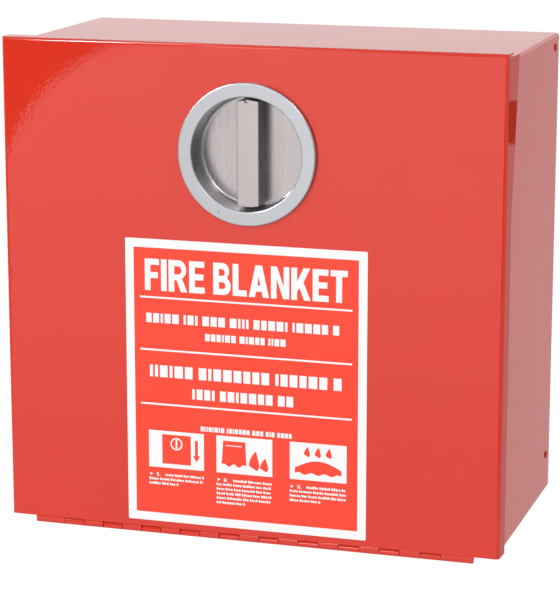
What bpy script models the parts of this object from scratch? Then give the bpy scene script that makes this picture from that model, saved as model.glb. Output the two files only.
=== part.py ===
"""Fire blanket in a wall cabinet, modelled for Blender 4.5 in metres, +Z up.

A folded steel case hangs on a wall and holds a folded fire blanket. Its front is a drop-down door on a
piano hinge along the lower edge, held shut by a recessed quarter-turn latch. The origin is the centre of
the height and width of the wall face: the wall is the plane y = 0 and the door faces -Y.
Run with: blender --background --python part.py
"""

import math

import bmesh
import bpy
from mathutils import Matrix, Vector

# Fits
TOUCH_GAP = 0.0003
SIDE_CLEARANCE = 0.0004
TOP_CLEARANCE = 0.0028
DOOR_CLEARANCE = 0.0005

# Cabinet and door
DOOR_WIDTH = 0.310
DOOR_HEIGHT = 0.298
CABINET_DEPTH = 0.1557
SHEET = 0.0012
BEND_RADIUS = 0.0022
BEND_STEPS = 4
TOP_FLANGE = 0.0124
SIDE_FLANGE = 0.0129
SIDE_FLANGE_AT_TOP = 0.0248
TAPER_LENGTH = 0.096
CORNER_SLIT = 0.0006
FRONT_LIP = 0.012
BOTTOM_LIP = 0.008
BACK_FLANGE = 0.018
WALL_HOLE_RADIUS = 0.0035
WALL_HOLE_FROM_SIDE = 0.053
WALL_HOLE_FROM_TOP = 0.052
WALL_HOLE_FROM_BOTTOM = 0.060
LABEL_WIDTH = 0.151
LABEL_HEIGHT = 0.176
LABEL_FROM_BOTTOM = 0.004
LABEL_SHIFT = -0.0018
LABEL_THICKNESS = 0.0002

# Rivets that join the back panel's flanges to the case's sides
RIVET_RADIUS = 0.0016
RIVET_HEAD_RADIUS = 0.0026
RIVET_HEAD_HEIGHT = 0.0009
RIVET_TAIL_RADIUS = 0.0021
RIVET_TAIL_LENGTH = 0.0005
RIVET_FROM_BACK = 0.010
RIVET_FROM_TOP = 0.008
RIVET_FROM_BOTTOM = 0.024

# Piano hinge
HINGE_INSET = 0.0157
KNUCKLE_PITCH = 0.0252
KNUCKLE_SPACE = 0.0004
PIN_RADIUS = 0.0010
KNUCKLE_WALL = 0.0009
KNUCKLE_SETBACK = 0.0002
LEAF_THICKNESS = 0.0010
LEAF_REACH = 0.0155

# Recessed latch
LATCH_FROM_TOP = 0.064
RECESS_RADIUS = 0.034
RECESS_DEPTH = 0.0165
RECESS_DRAFT = 0.0006
BEZEL_WIDTH = 0.0085
BEZEL_PROUD = 0.003
BEZEL_EDGE = 0.0006
DISH_WALL = 0.0015
LOCK_RING_WIDTH = 0.005
LOCK_RING_DEPTH = 0.0045
LOCK_RING_NOTCHES = 4
BAR_WIDTH = 0.0134
BAR_END_GAP = 0.00225
BAR_SETBACK = 0.0036
BAR_EDGE = 0.0008
SPINDLE_RADIUS = 0.004
SPINDLE_SQUARE = 0.0056
SPINDLE_IN_BAR = 0.008
THREAD_RADIUS = 0.0025
THREAD_TAIL = 0.0018
STOP_WASHER_THICKNESS = 0.0015
STOP_WASHER_RADIUS = 0.0095
STOP_TAB_REACH = 0.0145
STOP_TAB_WIDTH = 0.005
STOP_LUG = 0.003
SPRING_WASHER_THICKNESS = 0.0014
SPRING_WASHER_RADIUS = 0.006
NUT_ACROSS_FLATS = 0.008
NUT_THICKNESS = 0.004
TONGUE_THICKNESS = 0.0025
TONGUE_WIDTH = 0.016
TONGUE_TIP_CLEARANCE = 0.004
TONGUE_LIP_CLEARANCE = 0.001
TONGUE_CRANK_CLEARANCE = 0.001
TONGUE_CRANK_RUN = 0.0045
TONGUE_CORNER = 0.0032

# Folded blanket and its two grip pockets
BLANKET_SIDE_ROOM = 0.0185
BLANKET_HEAD_ROOM = 0.034
BLANKET_FRONT_ROOM = 0.052
BLANKET_BACK_ROOM = 0.004
BLANKET_EDGE = 0.008
POCKET_WIDTH = 0.085
POCKET_HEIGHT = 0.125
POCKET_THICKNESS = 0.003
POCKET_SPACING = 0.135
POCKET_FROM_BOTTOM = 0.040

# Sides of the round pieces
DISH_SIDES = 72
LOCK_RING_SIDES = 64
BAR_END_SIDES = 96
SHAFT_SIDES = 32
THREAD_SIDES = 24
RIVET_SIDES = 20
PIN_SIDES = 16
DOME_STEPS = 3
KNUCKLE_STEPS = 18

# Colours
PAINT_RED = (0.72, 0.035, 0.022)
LABEL_RED = (0.85, 0.045, 0.03)
ZINC_GREY = (0.52, 0.54, 0.56)
STEEL_GREY = (0.60, 0.60, 0.61)
BLANKET_GREY = (0.46, 0.45, 0.42)
POCKET_SILVER = (0.68, 0.69, 0.71)

# Places that follow from the sizes
FRONT = -CABINET_DEPTH
BOTTOM = -DOOR_HEIGHT / 2
TOP = DOOR_HEIGHT / 2
DOOR_BACK = FRONT + SHEET
LEAF_FRONT = DOOR_BACK + TOUCH_GAP
CASE_FRONT = LEAF_FRONT + LEAF_THICKNESS + DOOR_CLEARANCE
CASE_SIDE = DOOR_WIDTH / 2 - SHEET - SIDE_CLEARANCE
CASE_TOP = TOP - SHEET - TOP_CLEARANCE
KNUCKLE_RADIUS = PIN_RADIUS + TOUCH_GAP + KNUCKLE_WALL
PIN_Y = FRONT + KNUCKLE_SETBACK + KNUCKLE_RADIUS
PIN_Z = BOTTOM - TOUCH_GAP - KNUCKLE_RADIUS
HINGE_LENGTH = DOOR_WIDTH - 2 * HINGE_INSET
LATCH_Z = TOP - LATCH_FROM_TOP
BEZEL_FACE = FRONT - BEZEL_PROUD
BASE_FRONT = BEZEL_FACE + RECESS_DEPTH
BASE_BACK = BASE_FRONT + DISH_WALL
COLLAR_RADIUS = RECESS_RADIUS + DISH_WALL
LOCK_RING_RADIUS = COLLAR_RADIUS + TOUCH_GAP + LOCK_RING_WIDTH
BAR_RADIUS = RECESS_RADIUS - BAR_END_GAP
BAR_FRONT = BEZEL_FACE + BAR_SETBACK
BAR_BACK = BASE_FRONT - TOUCH_GAP
STOP_WASHER_FRONT = BASE_BACK + TOUCH_GAP
TONGUE_FRONT = STOP_WASHER_FRONT + STOP_WASHER_THICKNESS + TOUCH_GAP
SPRING_WASHER_FRONT = TONGUE_FRONT + TONGUE_THICKNESS + TOUCH_GAP
NUT_FRONT = SPRING_WASHER_FRONT + SPRING_WASHER_THICKNESS + TOUCH_GAP
SPINDLE_END = NUT_FRONT + NUT_THICKNESS + THREAD_TAIL

LEFT = Vector((-1, 0, 0))
TOWARDS_WALL = Vector((0, 1, 0))


def clear_scene():
    for obj in list(bpy.data.objects):
        bpy.data.objects.remove(obj, do_unlink=True)


def finish_material(name, colour, roughness, metallic):
    """A Principled material with one colour, roughness and metallic value."""
    made = bpy.data.materials.new(name)
    made.use_nodes = True
    shader = made.node_tree.nodes["Principled BSDF"]
    shader.inputs["Base Color"].default_value = (*colour, 1.0)
    shader.inputs["Roughness"].default_value = roughness
    shader.inputs["Metallic"].default_value = metallic
    return made


def add_object(name, shape, made=None):
    """Turns a bmesh into an object of the scene. Flat faces stay flat and round ones shade smooth."""
    mesh = bpy.data.meshes.new(name)
    shape.to_mesh(mesh)
    shape.free()
    mesh.shade_smooth()
    mesh.set_sharp_from_angle(angle=math.radians(35))
    obj = bpy.data.objects.new(name, mesh)
    bpy.context.scene.collection.objects.link(obj)
    if made:
        mesh.materials.append(made)
    return obj


def block_shape(low, high):
    """A box between two corners."""
    shape = bmesh.new()
    size = Vector(high) - Vector(low)
    centre = (Vector(high) + Vector(low)) / 2
    placed = Matrix.Translation(centre) @ Matrix.Diagonal((*size, 1.0))
    bmesh.ops.create_cube(shape, size=1.0, matrix=placed)
    return shape


def round_block_shape(low, high, edge, steps):
    """A box with every edge rounded."""
    shape = block_shape(low, high)
    bmesh.ops.bevel(shape, geom=shape.edges[:], offset=edge, segments=steps, profile=0.5, affect="EDGES")
    return shape


def axis_frame(start, along):
    """A matrix that takes +Z to the direction along, placed at start."""
    turn = Vector(along).to_track_quat("Z", "Y").to_matrix().to_4x4()
    return Matrix.Translation(start) @ turn


def rod_shape(start, along, length, radius, sides):
    """A cylinder from start, along a direction."""
    shape = bmesh.new()
    placed = axis_frame(start, along) @ Matrix.Translation((0, 0, length / 2))
    bmesh.ops.create_cone(
        shape,
        cap_ends=True,
        segments=sides,
        radius1=radius,
        radius2=radius,
        depth=length,
        matrix=placed,
    )
    return shape


def turned_shape(outline, start, along, sides):
    """A body of revolution. The outline is a closed list of (radius, distance along the axis)."""
    shape = bmesh.new()
    corners = [shape.verts.new((radius, 0, height)) for radius, height in outline]
    edges = [shape.edges.new((a, b)) for a, b in zip(corners, corners[1:] + corners[:1])]
    on_axis = [e for e in edges if all(v.co.x < 1e-9 for v in e.verts)]
    for edge in on_axis:
        shape.edges.remove(edge)
        edges.remove(edge)
    bmesh.ops.spin(
        shape,
        geom=corners + edges,
        cent=(0, 0, 0),
        axis=(0, 0, 1),
        angle=math.tau,
        steps=sides,
    )
    bmesh.ops.remove_doubles(shape, verts=shape.verts[:], dist=1e-6)
    bmesh.ops.recalc_face_normals(shape, faces=shape.faces[:])
    shape.transform(axis_frame(start, along))
    return shape


def prism_shape(outline, start, end, to_point):
    """An outline pulled straight from start to end. to_point(u, v, w) gives the place of each corner."""
    shape = bmesh.new()
    face = shape.faces.new([shape.verts.new(to_point(u, v, start)) for u, v in outline])
    pulled = bmesh.ops.extrude_face_region(shape, geom=[face])["geom"]
    moved = [item for item in pulled if isinstance(item, bmesh.types.BMVert)]
    shift = to_point(0, 0, end) - to_point(0, 0, start)
    bmesh.ops.translate(shape, verts=moved, vec=shift)
    bmesh.ops.recalc_face_normals(shape, faces=shape.faces[:])
    return shape


def combine(obj, shape, operation, name):
    """Cuts a shape from an object, or joins it on, with a Boolean modifier."""
    tool = add_object(name, shape)
    tool.hide_render = True
    tool.display_type = "WIRE"
    boolean = obj.modifiers.new(name, "BOOLEAN")
    boolean.operation = operation
    boolean.solver = "EXACT"
    boolean.object = tool


def faces_towards(shape, direction):
    return [f for f in shape.faces if f.normal.dot(Vector(direction)) > 0.999]


def give_thickness(obj):
    """Folds have their outside on the modelled faces, and the sheet's thickness goes inwards."""
    wall = obj.modifiers.new("sheet", "SOLIDIFY")
    wall.thickness = SHEET
    wall.offset = -1
    wall.use_even_offset = True


def folded_tray(name, low, high, web, open_sides, joined_corners, made):
    """A sheet tray: the face towards web, with a flange bent from each of its sides that isn't open.

    Where the flanges are joined at the corners, those corners are as round as the bends.
    """
    shape = block_shape(low, high)
    for side in open_sides:
        bmesh.ops.delete(shape, geom=faces_towards(shape, side), context="FACES")
    web_face = faces_towards(shape, web)[0]
    rounded = shape.edges if joined_corners else web_face.edges
    bends = [edge for edge in rounded if len(edge.link_faces) == 2]
    bmesh.ops.bevel(
        shape, geom=bends, offset=BEND_RADIUS, segments=BEND_STEPS, profile=0.5, affect="EDGES"
    )
    obj = add_object(name, shape, made)
    give_thickness(obj)
    return obj


def joint_empty(name, place, parent=None):
    """The point on a joint's axis that the moving pieces hang on."""
    empty = bpy.data.objects.new(name, None)
    bpy.context.scene.collection.objects.link(empty)
    empty.location = place
    bpy.context.view_layer.update()
    if parent:
        hang_on(empty, parent)
    return empty


def hang_on(obj, empty):
    """Parents an object to a joint's empty and leaves it in place."""
    obj.parent = empty
    obj.matrix_parent_inverse = empty.matrix_world.inverted()
    bpy.context.view_layer.update()


def rivet_places():
    """(side, height) of each rivet's axis, with its name."""
    upper = CASE_TOP - RIVET_FROM_TOP
    lower = BOTTOM + RIVET_FROM_BOTTOM
    return [
        ("rivet_left_upper", -1, upper),
        ("rivet_left_lower", -1, lower),
        ("rivet_right_upper", 1, upper),
        ("rivet_right_lower", 1, lower),
    ]


def drill_rivet_holes(obj):
    for name, side, height in rivet_places():
        start = Vector((side * (CASE_SIDE + SHEET), -RIVET_FROM_BACK, height))
        length = 4 * SHEET + TOUCH_GAP
        hole = rod_shape(start, LEFT * side, length, RIVET_RADIUS + TOUCH_GAP, RIVET_SIDES)
        combine(obj, hole, "DIFFERENCE", f"{obj.name}_hole_for_{name}")


def make_case(paint):
    """The case's top, sides and bottom, folded from one sheet with a lip turned in round the front."""
    shape = block_shape((-CASE_SIDE, CASE_FRONT, BOTTOM), (CASE_SIDE, 0, CASE_TOP))
    bmesh.ops.delete(shape, geom=faces_towards(shape, (0, 1, 0)), context="FACES")
    bends = [edge for edge in shape.edges if len(edge.link_faces) == 2]
    bmesh.ops.bevel(
        shape, geom=bends, offset=BEND_RADIUS, segments=BEND_STEPS, profile=0.5, affect="EDGES"
    )
    front = max(faces_towards(shape, (0, -1, 0)), key=lambda face: face.calc_area())
    bmesh.ops.inset_region(shape, faces=[front], thickness=FRONT_LIP - BEND_RADIUS)
    for vert in front.verts:
        if vert.co.z < 0:
            vert.co.z = BOTTOM + BOTTOM_LIP
    bmesh.ops.delete(shape, geom=[front], context="FACES")
    case = add_object("cabinet_case", shape, paint)
    give_thickness(case)
    drill_rivet_holes(case)


def make_back_panel(paint):
    """The back, a tray whose flanges point forward inside the case, with holes for four wall screws."""
    side = CASE_SIDE - SHEET - TOUCH_GAP
    low = (-side, -BACK_FLANGE, BOTTOM + SHEET + TOUCH_GAP)
    high = (side, 0, CASE_TOP - SHEET - TOUCH_GAP)
    panel = folded_tray("back_panel", low, high, (0, 1, 0), [(0, -1, 0)], True, paint)
    drill_rivet_holes(panel)
    for height in (CASE_TOP - WALL_HOLE_FROM_TOP, BOTTOM + WALL_HOLE_FROM_BOTTOM):
        for side in (-1, 1):
            start = Vector((side * (CASE_SIDE - WALL_HOLE_FROM_SIDE), -2 * SHEET, height))
            hole = rod_shape(start, TOWARDS_WALL, 4 * SHEET, WALL_HOLE_RADIUS, SHAFT_SIDES)
            combine(panel, hole, "DIFFERENCE", "wall_screw_hole")


def make_rivets(paint):
    """Blind rivets through the case's side and the back panel's flange, domed outside."""
    grip = 2 * SHEET + TOUCH_GAP
    inner = grip + TOUCH_GAP
    outline = []
    for step in range(DOME_STEPS + 1):
        angle = math.pi / 2 * step / DOME_STEPS
        rise = RIVET_HEAD_HEIGHT * math.cos(angle)
        outline.append((RIVET_HEAD_RADIUS * math.sin(angle), -TOUCH_GAP - rise))
    outline += [
        (RIVET_RADIUS, -TOUCH_GAP),
        (RIVET_RADIUS, inner),
        (RIVET_TAIL_RADIUS, inner),
        (RIVET_TAIL_RADIUS, inner + RIVET_TAIL_LENGTH),
        (0, inner + RIVET_TAIL_LENGTH),
    ]
    for name, side, height in rivet_places():
        start = Vector((side * CASE_SIDE, -RIVET_FROM_BACK, height))
        add_object(name, turned_shape(outline, start, LEFT * side, RIVET_SIDES), paint)


def knuckle_spans():
    """Where the hinge's knuckles lie along X: the case's, then the door's, which start and end the row."""
    count = int((HINGE_LENGTH - KNUCKLE_PITCH / 4) / KNUCKLE_PITCH)
    half = KNUCKLE_PITCH / 4
    centres = [(index - (count - 1) / 2) * KNUCKLE_PITCH for index in range(count)]
    for_case = [(x - half, x + half) for x in centres]
    edges = [-HINGE_LENGTH / 2] + [x for span in for_case for x in span] + [HINGE_LENGTH / 2]
    for_door = list(zip(edges[0::2], edges[1::2]))
    return for_case, for_door


def arc_points(start_angle, end_angle, steps):
    """Points on the knuckle's outside, about the pin, as (y, z)."""
    points = []
    for step in range(steps + 1):
        angle = start_angle + (end_angle - start_angle) * step / steps
        points.append((KNUCKLE_RADIUS * math.cos(angle), KNUCKLE_RADIUS * math.sin(angle)))
    return points


def about_pin(u, v, w):
    """A point from its distance behind the pin, above the pin and along X."""
    return Vector((w, PIN_Y + u, PIN_Z + v))


def add_knuckles(leaf, outline, spans):
    """Joins one knuckle for each span to a leaf, and bores the leaf for the pin."""
    for number, (start, end) in enumerate(spans, 1):
        body = prism_shape(outline, start + KNUCKLE_SPACE / 2, end - KNUCKLE_SPACE / 2, about_pin)
        combine(leaf, body, "UNION", f"{leaf.name}_knuckle_{number}")
    start = Vector((-HINGE_LENGTH / 2 - KNUCKLE_SPACE, PIN_Y, PIN_Z))
    bore_length = HINGE_LENGTH + 2 * KNUCKLE_SPACE
    bore = rod_shape(start, (1, 0, 0), bore_length, PIN_RADIUS + TOUCH_GAP, PIN_SIDES)
    combine(leaf, bore, "DIFFERENCE", f"{leaf.name}_bore")


def make_hinge(paint, steel, door_joint):
    """A piano hinge: a leaf under the case, a leaf behind the door's lower edge, and the pin."""
    for_case, for_door = knuckle_spans()
    half = HINGE_LENGTH / 2
    clear = KNUCKLE_RADIUS + KNUCKLE_SPACE
    leaf_low = (-half, PIN_Y + clear, PIN_Z + KNUCKLE_RADIUS - LEAF_THICKNESS)
    leaf_high = (half, PIN_Y + clear + LEAF_REACH, PIN_Z + KNUCKLE_RADIUS)
    case_leaf = add_object("hinge_leaf_case", block_shape(leaf_low, leaf_high), paint)
    under = KNUCKLE_RADIUS - LEAF_THICKNESS
    tail = clear + TOUCH_GAP
    case_outline = [(tail, KNUCKLE_RADIUS), (tail, under)]
    case_outline += arc_points(math.asin(under / KNUCKLE_RADIUS), -1.5 * math.pi, KNUCKLE_STEPS)
    add_knuckles(case_leaf, case_outline, for_case)

    leaf_foot = PIN_Z + clear
    leaf_low = (-half, LEAF_FRONT, leaf_foot)
    leaf_high = (half, LEAF_FRONT + LEAF_THICKNESS, leaf_foot + LEAF_REACH)
    door_leaf = add_object("hinge_leaf_door", block_shape(leaf_low, leaf_high), paint)
    front = LEAF_FRONT - PIN_Y
    back = front + LEAF_THICKNESS
    top = clear + TOUCH_GAP
    door_outline = [
        (-KNUCKLE_RADIUS, KNUCKLE_RADIUS),
        (front, KNUCKLE_RADIUS),
        (front, top),
        (back, top),
    ]
    door_outline += arc_points(math.acos(back / KNUCKLE_RADIUS), -math.pi, KNUCKLE_STEPS)
    add_knuckles(door_leaf, door_outline, for_door)
    hang_on(door_leaf, door_joint)

    pin = rod_shape(Vector((-half, PIN_Y, PIN_Z)), (1, 0, 0), HINGE_LENGTH, PIN_RADIUS, PIN_SIDES)
    add_object("hinge_pin", pin, steel)


def make_door(paint, label_stock, door_joint):
    """The door: a sheet over the whole front, with flanges along its top and outside the case's sides."""
    half = DOOR_WIDTH / 2
    low = (-half, FRONT, BOTTOM)
    high = (half, FRONT + SIDE_FLANGE_AT_TOP, TOP)
    door = folded_tray("door_panel", low, high, (0, -1, 0), [(0, 1, 0), (0, 0, -1)], False, paint)
    past = 2 * SHEET
    slit_top = TOP - SHEET + CORNER_SLIT / 3
    slit_low = TOP - SHEET - CORNER_SLIT
    for side in (-1, 1):
        inner = side * (half - SHEET - TOUCH_GAP)
        outer = side * (half + past)
        slit = block_shape(
            (min(inner, outer), FRONT + BEND_RADIUS, slit_low),
            (max(inner, outer), FRONT + TOP_FLANGE + past, slit_top),
        )
        combine(door, slit, "DIFFERENCE", "corner_slit")

    flange_head = slit_low - TOUCH_GAP
    behind = FRONT + SIDE_FLANGE_AT_TOP + past
    waste_outline = [
        (FRONT + TOP_FLANGE, TOP + past),
        (FRONT + TOP_FLANGE, flange_head),
        (FRONT + SIDE_FLANGE_AT_TOP, flange_head),
        (FRONT + SIDE_FLANGE, flange_head - TAPER_LENGTH),
        (FRONT + SIDE_FLANGE, BOTTOM - past),
        (behind, BOTTOM - past),
        (behind, TOP + past),
    ]
    waste = prism_shape(waste_outline, -half - past, half + past, lambda u, v, w: Vector((w, u, v)))
    combine(door, waste, "DIFFERENCE", "flange_edges")
    hole_start = Vector((0, FRONT - past, LATCH_Z))
    hole_length = 2 * past + SHEET
    hole = rod_shape(hole_start, TOWARDS_WALL, hole_length, COLLAR_RADIUS + TOUCH_GAP, DISH_SIDES)
    combine(door, hole, "DIFFERENCE", "latch_hole")
    hang_on(door, door_joint)

    label_back = FRONT - TOUCH_GAP
    label_foot = BOTTOM + LABEL_FROM_BOTTOM
    label = block_shape(
        (LABEL_SHIFT - LABEL_WIDTH / 2, label_back - LABEL_THICKNESS, label_foot),
        (LABEL_SHIFT + LABEL_WIDTH / 2, label_back, label_foot + LABEL_HEIGHT),
    )
    hang_on(add_object("label", label, label_stock), door_joint)


def make_latch_housing(zinc, steel, door_joint):
    """The fixed half of the latch: the dish with its bezel, and the ring that clamps it to the door."""
    axis_start = Vector((0, BEZEL_FACE, LATCH_Z))
    bezel_radius = RECESS_RADIUS + BEZEL_WIDTH
    bezel_back = BEZEL_PROUD - TOUCH_GAP
    base_radius = RECESS_RADIUS - RECESS_DRAFT
    hole_radius = SPINDLE_RADIUS + TOUCH_GAP
    blend = 0.3 * BEZEL_EDGE
    outline = [
        (RECESS_RADIUS + BEZEL_EDGE, 0),
        (bezel_radius - BEZEL_EDGE, 0),
        (bezel_radius - blend, blend),
        (bezel_radius, BEZEL_EDGE),
        (bezel_radius, bezel_back),
        (COLLAR_RADIUS, bezel_back),
        (COLLAR_RADIUS, RECESS_DEPTH + DISH_WALL),
        (hole_radius, RECESS_DEPTH + DISH_WALL),
        (hole_radius, RECESS_DEPTH),
        (base_radius, RECESS_DEPTH),
        (RECESS_RADIUS, BEZEL_EDGE),
        (RECESS_RADIUS + blend, blend),
    ]
    dish_body = turned_shape(outline, axis_start, TOWARDS_WALL, DISH_SIDES)
    dish = add_object("latch_dish", dish_body, zinc)
    # The stop washer's tab rests on one lug with the latch open and on the other with it locked.
    reach = STOP_TAB_REACH - STOP_LUG
    beside = STOP_TAB_WIDTH / 2 + TOUCH_GAP
    lug_front = BASE_BACK - DISH_WALL / 2
    lug_back = STOP_WASHER_FRONT + STOP_WASHER_THICKNESS
    lug_low = Vector((-reach - STOP_LUG, lug_front, LATCH_Z - beside - STOP_LUG))
    lug_high = Vector((-reach, lug_back, LATCH_Z - beside))
    combine(dish, block_shape(lug_low, lug_high), "UNION", "open_stop")
    lug_low = Vector((beside, lug_front, LATCH_Z + reach))
    lug_high = Vector((beside + STOP_LUG, lug_back, LATCH_Z + reach + STOP_LUG))
    combine(dish, block_shape(lug_low, lug_high), "UNION", "locked_stop")
    hang_on(dish, door_joint)

    ring_inner = COLLAR_RADIUS + TOUCH_GAP
    ring_start = Vector((0, DOOR_BACK + TOUCH_GAP, LATCH_Z))
    ring_outline = [
        (ring_inner, 0),
        (LOCK_RING_RADIUS, 0),
        (LOCK_RING_RADIUS, LOCK_RING_DEPTH - BEZEL_EDGE),
        (LOCK_RING_RADIUS - BEZEL_EDGE, LOCK_RING_DEPTH),
        (ring_inner, LOCK_RING_DEPTH),
    ]
    ring_body = turned_shape(ring_outline, ring_start, TOWARDS_WALL, LOCK_RING_SIDES)
    ring = add_object("latch_lock_ring", ring_body, steel)
    notch = LOCK_RING_WIDTH / 2
    for number in range(LOCK_RING_NOTCHES):
        turn = Matrix.Rotation(math.tau * (number + 0.5) / LOCK_RING_NOTCHES, 4, "Y")
        shape = block_shape(
            (-notch / 2, -LOCK_RING_DEPTH, LOCK_RING_RADIUS - notch),
            (notch / 2, 2 * LOCK_RING_DEPTH, LOCK_RING_RADIUS + notch),
        )
        shape.transform(Matrix.Translation(ring_start) @ turn)
        combine(ring, shape, "DIFFERENCE", "spanner_notch")
    hang_on(ring, door_joint)


def square_cutter(front, depth):
    """The square hole that drives a piece from the spindle, as a cutter from front over depth."""
    half = SPINDLE_SQUARE / 2 + TOUCH_GAP
    low = (-half, front - depth, LATCH_Z - half)
    high = (half, front + 2 * depth, LATCH_Z + half)
    return block_shape(low, high)


def make_grip_bar(zinc, latch_joint):
    """The upright bar across the recess, with ends that follow the recess's wall."""
    half = BAR_WIDTH / 2
    low = (-half, BAR_FRONT, LATCH_Z - BAR_RADIUS - half)
    high = (half, BAR_BACK, LATCH_Z + BAR_RADIUS + half)
    bar = add_object("grip_bar", block_shape(low, high), zinc)
    past = BAR_EDGE
    length = BAR_BACK - BAR_FRONT + 2 * past
    start = Vector((0, BAR_FRONT - past, LATCH_Z))
    ends = rod_shape(start, TOWARDS_WALL, length, BAR_RADIUS, BAR_END_SIDES)
    combine(bar, ends, "INTERSECT", "round_ends")
    edges = bar.modifiers.new("soft_edges", "BEVEL")
    edges.width = BAR_EDGE
    edges.segments = 3
    edges.limit_method = "ANGLE"
    edges.angle_limit = math.radians(40)
    bore_start = Vector((0, BAR_BACK - SPINDLE_IN_BAR - TOUCH_GAP, LATCH_Z))
    bore_length = SPINDLE_IN_BAR + 2 * TOUCH_GAP + past
    bore = rod_shape(bore_start, TOWARDS_WALL, bore_length, SPINDLE_RADIUS + TOUCH_GAP, SHAFT_SIDES)
    combine(bar, bore, "DIFFERENCE", "spindle_bore")
    hang_on(bar, latch_joint)


def make_spindle(steel, latch_joint):
    """The shaft through the dish: round in the bar and the base, square for the tongue, then threaded."""
    round_start = Vector((0, BAR_BACK - SPINDLE_IN_BAR, LATCH_Z))
    round_length = STOP_WASHER_FRONT - round_start.y
    shank = rod_shape(round_start, TOWARDS_WALL, round_length, SPINDLE_RADIUS, SHAFT_SIDES)
    shaft = add_object("spindle", shank, steel)
    half = SPINDLE_SQUARE / 2
    low = (-half, STOP_WASHER_FRONT - half, LATCH_Z - half)
    high = (half, SPRING_WASHER_FRONT, LATCH_Z + half)
    combine(shaft, block_shape(low, high), "UNION", "drive_square")
    thread_start = Vector((0, SPRING_WASHER_FRONT - half, LATCH_Z))
    thread_length = SPINDLE_END - thread_start.y
    thread = rod_shape(thread_start, TOWARDS_WALL, thread_length, THREAD_RADIUS, THREAD_SIDES)
    combine(shaft, thread, "UNION", "threaded_end")
    hang_on(shaft, latch_joint)


def make_stop_washer(steel, latch_joint):
    """The washer whose tab limits the turn to a quarter, on the spindle's square."""
    start = Vector((0, STOP_WASHER_FRONT, LATCH_Z))
    disc = rod_shape(start, TOWARDS_WALL, STOP_WASHER_THICKNESS, STOP_WASHER_RADIUS, SHAFT_SIDES)
    washer = add_object("stop_washer", disc, steel)
    half = STOP_TAB_WIDTH / 2
    low = (-STOP_TAB_REACH, STOP_WASHER_FRONT, LATCH_Z - half)
    high = (-STOP_WASHER_RADIUS / 2, STOP_WASHER_FRONT + STOP_WASHER_THICKNESS, LATCH_Z + half)
    combine(washer, block_shape(low, high), "UNION", "stop_tab")
    cutter = square_cutter(STOP_WASHER_FRONT, STOP_WASHER_THICKNESS)
    combine(washer, cutter, "DIFFERENCE", "stop_washer_square")
    hang_on(washer, latch_joint)


def make_tongue(steel, latch_joint):
    """The cranked tongue. It points to -X with the latch open, and turns up behind the case's top lip."""
    tip = CASE_TOP - SHEET - TONGUE_TIP_CLEARANCE - LATCH_Z
    crank_start = LOCK_RING_RADIUS + TONGUE_CRANK_CLEARANCE
    crank_end = crank_start + TONGUE_CRANK_RUN
    tip_front = CASE_FRONT + SHEET + TONGUE_LIP_CLEARANCE
    root_front = TONGUE_FRONT
    heel = -TONGUE_WIDTH / 2
    thick = TONGUE_THICKNESS
    slope = math.atan2(root_front - tip_front, TONGUE_CRANK_RUN)
    shift = thick * math.tan(slope / 2)
    outline = [
        (heel, root_front),
        (crank_start, root_front),
        (crank_end, tip_front),
        (tip, tip_front),
        (tip, tip_front + thick),
        (crank_end + shift, tip_front + thick),
        (crank_start + shift, root_front + thick),
        (heel, root_front + thick),
    ]
    half = TONGUE_WIDTH / 2
    strip = prism_shape(
        outline, LATCH_Z - half, LATCH_Z + half, lambda u, v, w: Vector((-u, v, w))
    )
    corners = [e for e in strip.edges if abs(e.verts[0].co.y - e.verts[1].co.y) > 0.9 * thick]
    ends = [e for e in corners if abs(e.verts[0].co.x - e.verts[1].co.x) < TOUCH_GAP]
    bmesh.ops.bevel(strip, geom=ends, offset=TONGUE_CORNER, segments=4, profile=0.5, affect="EDGES")
    tongue = add_object("tongue", strip, steel)
    cutter = square_cutter(TONGUE_FRONT, TONGUE_THICKNESS)
    combine(tongue, cutter, "DIFFERENCE", "tongue_square")
    hang_on(tongue, latch_joint)


def make_tongue_fasteners(steel, latch_joint):
    """The spring washer, split at one side, and the nut that hold the tongue on the spindle."""
    hole_radius = THREAD_RADIUS + TOUCH_GAP
    start = Vector((0, SPRING_WASHER_FRONT, LATCH_Z))
    ring = [
        (hole_radius, 0),
        (SPRING_WASHER_RADIUS, 0),
        (SPRING_WASHER_RADIUS, SPRING_WASHER_THICKNESS),
        (hole_radius, SPRING_WASHER_THICKNESS),
    ]
    washer = add_object("spring_washer", turned_shape(ring, start, TOWARDS_WALL, SHAFT_SIDES), steel)
    slit = SPRING_WASHER_THICKNESS / 4
    cutter = block_shape(
        (0, start.y - SPRING_WASHER_THICKNESS, LATCH_Z - slit),
        (2 * SPRING_WASHER_RADIUS, start.y + 2 * SPRING_WASHER_THICKNESS, LATCH_Z + slit),
    )
    combine(washer, cutter, "DIFFERENCE", "washer_split")
    hang_on(washer, latch_joint)

    nut_start = Vector((0, NUT_FRONT, LATCH_Z))
    corner_radius = NUT_ACROSS_FLATS / 2 / math.cos(math.pi / 6)
    hexagon = rod_shape(nut_start, TOWARDS_WALL, NUT_THICKNESS, corner_radius, 6)
    nut = add_object("tongue_nut", hexagon, steel)
    bore_start = nut_start - TOWARDS_WALL * NUT_THICKNESS
    bore = rod_shape(bore_start, TOWARDS_WALL, 3 * NUT_THICKNESS, hole_radius, THREAD_SIDES)
    combine(nut, bore, "DIFFERENCE", "nut_thread")
    hang_on(nut, latch_joint)


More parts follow.
